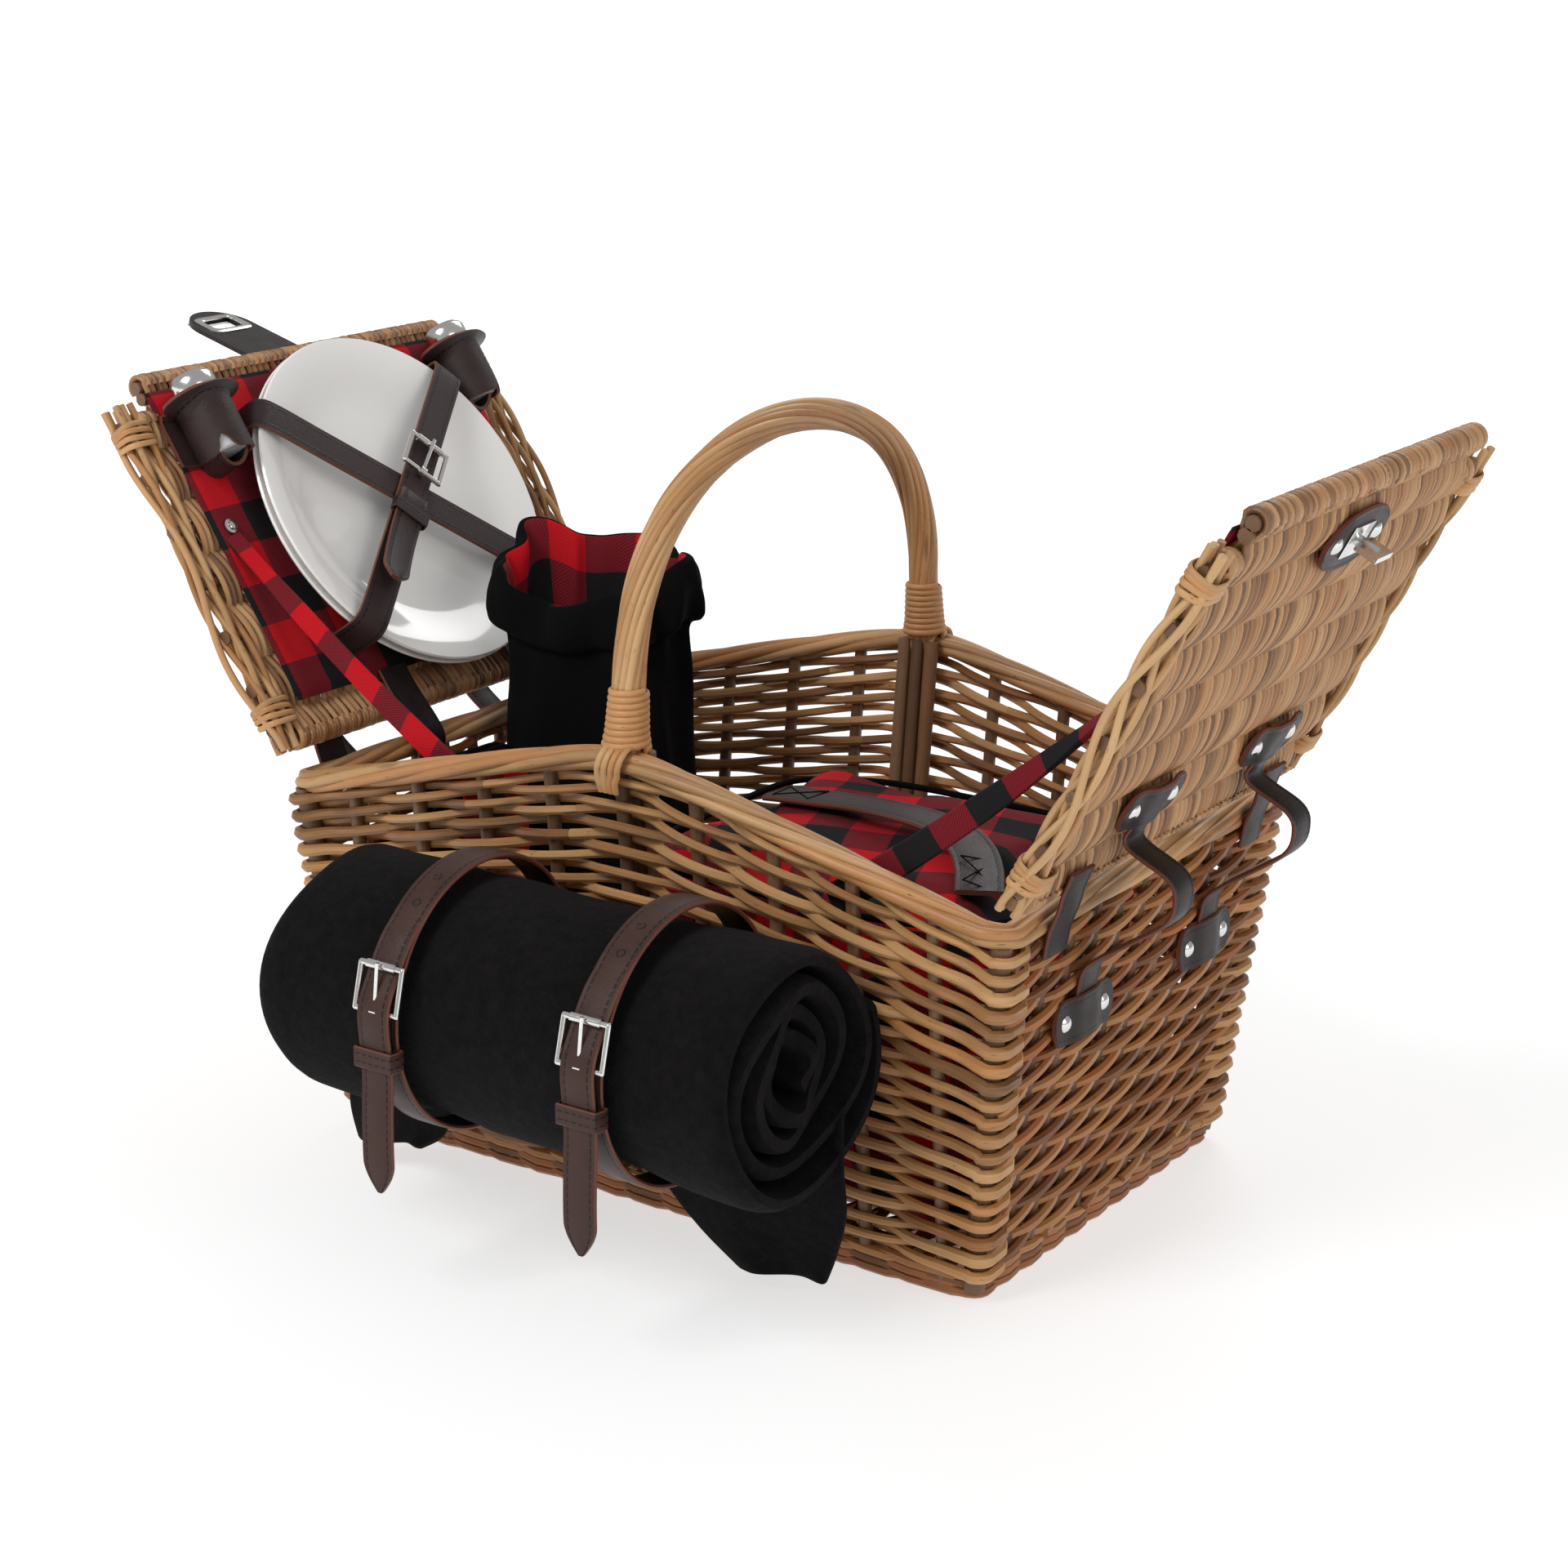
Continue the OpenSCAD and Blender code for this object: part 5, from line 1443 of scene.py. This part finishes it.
def sewPouch(p):
    bag = newBag()
    m = 96
    a = np.arange(m) * 2 * math.pi / m
    rows, marks = [], []
    # outside from the base up, over the folded cuff, then down the inside
    levels = [(0.0095, 0.10, 0), (0.0095, 0.85, 0), (0.013, 0.98, 0), (0.03, 1.0, 0), (0.07, 1.0, 0),
              (0.12, 0.99, 0), (0.17, 0.985, 0), (0.21, 0.97, 0),
              (0.238, 0.94, 0), (0.262, 0.91, 0), (0.2665, 0.95, 0), (0.2675, 1.04, 0), (0.271, 1.10, 0),
              (0.279, 1.13, 0), (0.289, 1.13, 0), (0.297, 1.10, 0),
              (0.302, 1.05, 0), (0.3035, 0.99, 0), (0.3015, 0.95, 1), (0.295, 0.92, 1), (0.27, 0.90, 1),
              (0.23, 0.90, 1), (0.18, 0.9, 1), (0.17, 0.1, 1)]
    for z, k, inside in levels:
        t = np.clip((z - 0.15) / 0.15, 0, 1)
        crease = 0.0013 * np.sin(11 * a + 3 * np.sin(z * 22)) * np.clip(z / 0.1, 0, 1) * (1 - t)
        fold = crease + 0.0022 * np.sin(3 * a + 14 * z) + t * (0.0046 * np.sin(5 * a + 1 + 20 * z) + 0.0030
                                                               * np.sin(9 * a - 34 * z) + 0.0018
                                                               * np.sin(14 * a + 60 * z))
        hx, hy = squarish(a, p["halfX"] * k, p["halfY"] * k, 0.62 + 0.2 * t)
        scale = 1 + fold / 0.05
        lift = t ** 2 * (0.0125 * np.sin(a) - 0.004 + 0.006 * np.cos(2 * a + 0.4) + 0.0035
                         * np.sin(5 * a + 0.8))
        x = p["cx"] + hx * scale - 0.006 * t
        y = p["cy"] + hy * scale
        rows.append(xyz(x, y, z + lift))
        marks.append(inside)
    pts = np.array(rows)
    around = a * 0.046
    uv = np.stack([np.tile(around, (len(rows), 1)), np.repeat(np.array([q[0] for q in levels])[:, None], m, 1)],
                  -1)
    dense, denseUv = [], []
    for k in range(len(rows) - 1):
        for f in (0, 0.5):
            dense.append(pts[k] * (1 - f) + pts[k + 1] * f)
            denseUv.append(uv[k] * (1 - f) + uv[k + 1] * f)
    dense.append(pts[-1])
    denseUv.append(uv[-1])
    split = 2 * marks.index(1) - 1
    grid(bag, np.array(dense[:split + 1]), np.array(denseUv[:split + 1]), wrapU=True)
    grid(bag, np.array(dense[split:]), np.array(denseUv[split:]), mat=1, wrapU=True)
    piece = finishMesh("winePouch", bag, [blackCotton, plaidCloth], None, 80)
    pick(piece)
    bpy.ops.object.mode_set(mode="EDIT")
    bpy.ops.mesh.select_all(action="SELECT")
    bpy.ops.mesh.remove_doubles(threshold=0.00001)
    bpy.ops.mesh.select_all(action="DESELECT")
    bpy.ops.mesh.select_mode(type="EDGE")
    bpy.ops.mesh.select_non_manifold()
    bpy.ops.mesh.edge_face_add()
    bpy.ops.mesh.select_all(action="SELECT")
    bpy.ops.mesh.normals_make_consistent(inside=False)
    bpy.ops.object.mode_set(mode="OBJECT")
    applyModifier(piece, "SUBSURF", levels=1, render_levels=1)
    piece.select_set(False)
    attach(piece, "basket")
    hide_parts("wine_pouch")
    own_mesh(piece)


sewPouch(pouch)

# napkins
linen = {"x0": -0.184, "x1": -0.154, "y0": -0.083, "y1": -0.026, "low": 0.0095, "high": 0.203, "count": 4,
         "pitch": 0.0075}


def foldNapkins(v):
    bag = newBag()
    for k in range(v["count"]):
        x = v["x0"] + 0.004 + k * v["pitch"]
        top = v["high"] - 0.004 * abs(k - 1.5)
        n = 34
        t = np.linspace(-1, 1, n)
        y = (v["y0"] + v["y1"]) / 2 + t * (v["y1"] - v["y0"]) / 2
        zs = np.array([v["low"], 0.06, 0.12, 0.16, top - 0.012, top - 0.004, top])
        side = []
        for q, z in enumerate(zs):
            half = 0.0030 if q < len(zs) - 2 else (0.0026 if q == len(zs) - 2 else 0.0008)
            bow = 0.0016 * np.sin(t * 3 + k) * (z / 0.2)
            dip = -0.004 * np.abs(t) ** 3 * (z / 0.2)
            side.append((xyz(x - half + bow, y, z + dip), xyz(x + half + bow, y, z + dip)))
        ring = [s[0] for s in side] + [s[1] for s in side[::-1]]
        pts = np.array(ring)
        h = np.array([s for s in zs] + [2 * zs[-1] - s for s in zs[::-1]])
        uv = np.stack([np.tile(y + k * 0.031, (len(ring), 1)), np.repeat(h[:, None], n, 1)], -1)
        grid(bag, pts, uv)
        edge = circle(0.0016, 7)
        crest = np.array([(p + q) / 2 for p, q in zip(side[-1][0], side[-1][1])])
        ends = [np.array([(s[0][e] + s[1][e]) / 2 for s in side]) for e in (0, -1)]
        sweep(bag, np.concatenate([ends[0], crest[1:-1], ends[1][::-1]]), (1, 0, 0), edge, 0.1, mat=1)
    piece = finishMesh("napkinStack", bag, [plaidCloth, blackCotton], "basket", 50)
    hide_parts("napkins")
    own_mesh(piece)


foldNapkins(linen)
print("pouch and napkins sewn")

# cooler bag
def fillWithAir(piece, frames, pressure, cap):
    # a short cloth run swells the seams; no point may move further than cap
    scene = bpy.context.scene
    count = len(piece.data.vertices)
    before = np.zeros(count * 3)
    piece.data.vertices.foreach_get("co", before)
    mod = piece.modifiers.new("air", "CLOTH")
    mod.settings.use_pressure = True
    mod.settings.uniform_pressure_force = pressure
    mod.settings.effector_weights.gravity = 0
    mod.point_cache.frame_end = frames
    for f in range(1, frames + 1):
        scene.frame_set(f)
    ready = piece.evaluated_get(bpy.context.evaluated_depsgraph_get())
    after = np.zeros(count * 3)
    ready.data.vertices.foreach_get("co", after)
    piece.modifiers.remove(mod)
    scene.frame_set(1)
    move = (after - before).reshape(-1, 3)
    size = np.linalg.norm(move, axis=1, keepdims=True)
    move *= np.minimum(1, cap / np.maximum(size, 1e-9))
    piece.data.vertices.foreach_set("co", before + move.ravel())
    piece.data.update()
    print(piece.name, "swelled by up to", round(float(np.linalg.norm(move, axis=1).max()), 4))


cooler = {"x0": -0.049, "x1": 0.183, "y0": -0.104, "y1": 0.104, "low": 0.0095, "high": 0.1865, "bevel": 0.016,
          "voxel": 0.0045, "frames": 20, "pressure": 4.0, "cap": 0.007}


def puffBag(c):
    bpy.ops.mesh.primitive_cube_add(size=1, location=((c["x0"] + c["x1"]) / 2, (c["y0"] + c["y1"]) / 2,
                                                      (c["low"] + c["high"]) / 2 - 0.003))
    piece = bpy.context.object
    piece.name = "coolerBag"
    piece.scale = (c["x1"] - c["x0"] - 0.008, c["y1"] - c["y0"] - 0.008, c["high"] - c["low"] - 0.010)
    bpy.ops.object.transform_apply(location=True, rotation=True, scale=True)
    bpy.ops.object.mode_set(mode="EDIT")
    bpy.ops.mesh.select_all(action="SELECT")
    bpy.ops.mesh.bevel(offset=c["bevel"], segments=4, affect="EDGES")
    bpy.ops.object.mode_set(mode="OBJECT")
    applyModifier(piece, "REMESH", mode="VOXEL", voxel_size=c["voxel"])
    fillWithAir(piece, c["frames"], c["pressure"], c["cap"])
    mesh = piece.data
    co = np.zeros(len(mesh.vertices) * 3)
    mesh.vertices.foreach_get("co", co)
    co = co.reshape(-1, 3)
    mid = np.array([(c["x0"] + c["x1"]) / 2, (c["y0"] + c["y1"]) / 2, 0])
    q = (co - mid) / np.array([(c["x1"] - c["x0"]) / 2, (c["y1"] - c["y0"]) / 2, 1])
    top = np.clip((co[:, 2] - 0.150) / 0.02, 0, 1)
    crown = 0.0065 * np.clip(1 - q[:, 0] ** 2, 0, 1) * np.clip(1 - q[:, 1] ** 2, 0, 1)
    ripple = 0.0012 * np.sin(co[:, 0] * 70 + co[:, 1] * 40) + 0.0010 * np.sin(co[:, 1] * 95 - co[:, 0] * 30)
    co[:, 2] += top * (crown + ripple)
    seamDip = 0.0035 * np.exp(-((np.abs(q[:, 1]) - 0.90) / 0.05) ** 2) * top
    co[:, 2] -= seamDip
    bulge = 0.0030 * np.sin(np.clip((co[:, 2] - 0.01) / 0.165, 0, 1) * math.pi)
    co[:, 0] += np.sign(q[:, 0]) * bulge * (np.abs(q[:, 0]) > 0.85)
    co[:, 1] += np.sign(q[:, 1]) * bulge * (np.abs(q[:, 1]) > 0.85)
    mesh.vertices.foreach_set("co", co.ravel())
    uvLayer = mesh.uv_layers.new(name="cloth")
    for poly in mesh.polygons:
        n = poly.normal
        for li in poly.loop_indices:
            p = co[mesh.loops[li].vertex_index]
            if abs(n.z) > 0.55:
                uvLayer.data[li].uv = (p[0] * 0.94 + p[1] * 0.34, p[1] * 0.94 - p[0] * 0.34)
            elif abs(n.x) > abs(n.y):
                uvLayer.data[li].uv = (p[1], p[2])
            else:
                uvLayer.data[li].uv = (p[0], p[2])
    mesh.materials.append(plaidCloth)
    bpy.ops.object.shade_smooth()
    piece.select_set(False)
    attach(piece, "cooler")
    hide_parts("cooler_bag")
    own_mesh(piece)
    # piping round the lid seam
    bag = newBag()
    a = np.arange(120) * 2 * math.pi / 120
    hx, hy = squarish(a, (c["x1"] - c["x0"]) / 2 - 0.005, (c["y1"] - c["y0"]) / 2 - 0.005, 0.42)
    loop = xyz(mid[0] + hx, mid[1] + hy, np.full(120, 0.1760) + 0.0008 * np.sin(5 * a))
    sweep(bag, loop, (0, 0, 1), circle(0.0019, 8), 0.2, closed=True)
    piping = finishMesh("coolerPiping", bag, [blackCotton], "cooler", 60, outward=True)
    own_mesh(piping)


puffBag(cooler)

grip = {"wide": 0.025, "thick": 0.003}


def coolerGrip(g):
    bag = newBag()
    pts = [(-0.006, 0.002, 0.1925), (0.014, -0.001, 0.1950), (0.034, -0.004, 0.1972), (0.060, -0.008, 0.2000),
           (0.092, -0.014, 0.2015),
           (0.118, -0.022, 0.2010), (0.138, -0.036, 0.1985), (0.152, -0.052, 0.1945), (0.163, -0.070, 0.1895)]
    path = smoothPath(pts, 60)
    n = len(path)
    t = np.linspace(0, 1, n)[:, None]
    across = np.array((0.0, 1, 0)) * (1 - t) + np.array((0.85, 0.55, 0.0)) * t
    sweep(bag, path, across, bandSection(g["wide"], g["thick"]), 0.4, sideMat=1)
    # crossed stitching on the sewn ends
    thread = circle(0.00042, 5)
    for k0, k1 in ((1, 9), (50, 58)):
        p0, p1 = path[k0], path[k1]
        w0 = unitRows(across[k0][None])[0] * 0.0085
        w1 = unitRows(across[k1][None])[0] * 0.0085
        for q, w in ((p0 + w0, p1 - w1), (p0 - w0, p1 + w1), (p1 + w1, p1 - w1), (p0 + w0, p0 - w0)):
            line = np.linspace(q, w, 8)
            line[:, 2] = np.interp(line[:, 0], path[:, 0], path[:, 2]) + 0.0017
            sweep(bag, line, (0, 0, 1), thread, 0.1, mat=2)
    piece = finishMesh("coolerGrip", bag, [greyHide, cutEdge, blackCotton], "cooler", 40, outward=True)
    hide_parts("cooler_handle")
    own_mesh(piece)


coolerGrip(grip)
print("cooler bag filled")

# latch
latch = {"hinge": 0.227, "lift": 0.00745, "droop": 40, "slot": 0.045, "patch": 0.191}


def latchMetal(v):
    # the slotted eyelet on the inner side of the tongue
    t = math.radians(v["droop"])
    bag = newBag()
    ring = []
    for a in np.radians(np.linspace(0, 360, 41)[:-1]):
        c, q = math.cos(a), math.sin(a)
        ring.append((0.0108 * np.sign(c) * abs(c) ** 0.35, 0.0162 * np.sign(q) * abs(q) ** 0.40))
    ring = np.array(ring)
    rows = []
    for k, z in ((1.0, -0.0013), (1.0, -0.0019), (0.95, -0.0023), (0.76, -0.0023), (0.72, -0.0019),
                 (0.72, -0.0013)):
        w = ring * np.array([k if k > 0.9 else k * 0.85, k])
        u, zz = v["slot"] + w[:, 0], np.full(len(w), z)
        rows.append(onLid(-1, xyz(v["hinge"] + u * math.cos(t) - zz * math.sin(t), w[:, 1],
                                  v["lift"] + zz * math.cos(t) + u * math.sin(t))))
    pts = np.array(rows)
    grid(bag, pts, np.zeros(pts.shape[:2] + (2,)), wrapU=True)
    piece = finishMesh("latchEyelet", bag, [nickel], "tongue", 40)


def lockPatch(v):
    bag = newBag()
    y = np.linspace(-0.0315, 0.0315, 37)
    wide = np.sqrt(np.clip(1 - (np.abs(y) / 0.0317) ** 2.4, 0.012, 1))
    path = onLid(1, xyz(v["patch"], y, 0.0078))
    sweep(bag, path, lidDir(1, (1, 0, 0)), bandSection(0.036, 0.0026), 0.5, wide=wide, sideMat=1)
    plate = onLid(1, xyz(np.linspace(v["patch"] - 0.009, v["patch"] + 0.009, 6), 0, 0.0096))
    sweep(bag, plate, (0, 1, 0), bandSection(0.022, 0.0011, 0.002), 0.5, mat=2)
    piece = finishMesh("lockPatch", bag, [darkHide, cutEdge, nickel], "right_lid", 40, outward=True)
    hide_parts("turn_lock_patch")


latchMetal(latch)
lockPatch(latch)

# metal and leather parts that keep their drawn shape
kept = {"nickel": ["wall_tab_rivets", "left_lid_rivets", "right_lid_rivets", "blanket_buckles",
                   "blanket_prong_left", "blanket_prong_right",
                   "plate_buckle", "plate_prong", "latch_slot_plate", "turn_lock_knob"],
        "steel": ["cutlery"], "hide": ["latch_tongue", "cutlery_strap"]}
finishes = {"nickel": nickel, "steel": steel, "hide": plainHide}
for kind, names in kept.items():
    for name in names:
        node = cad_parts[name]
        if not node.material_slots:
            node.data.materials.append(finishes[kind])
        for held in node.material_slots:
            held.material = finishes[kind]
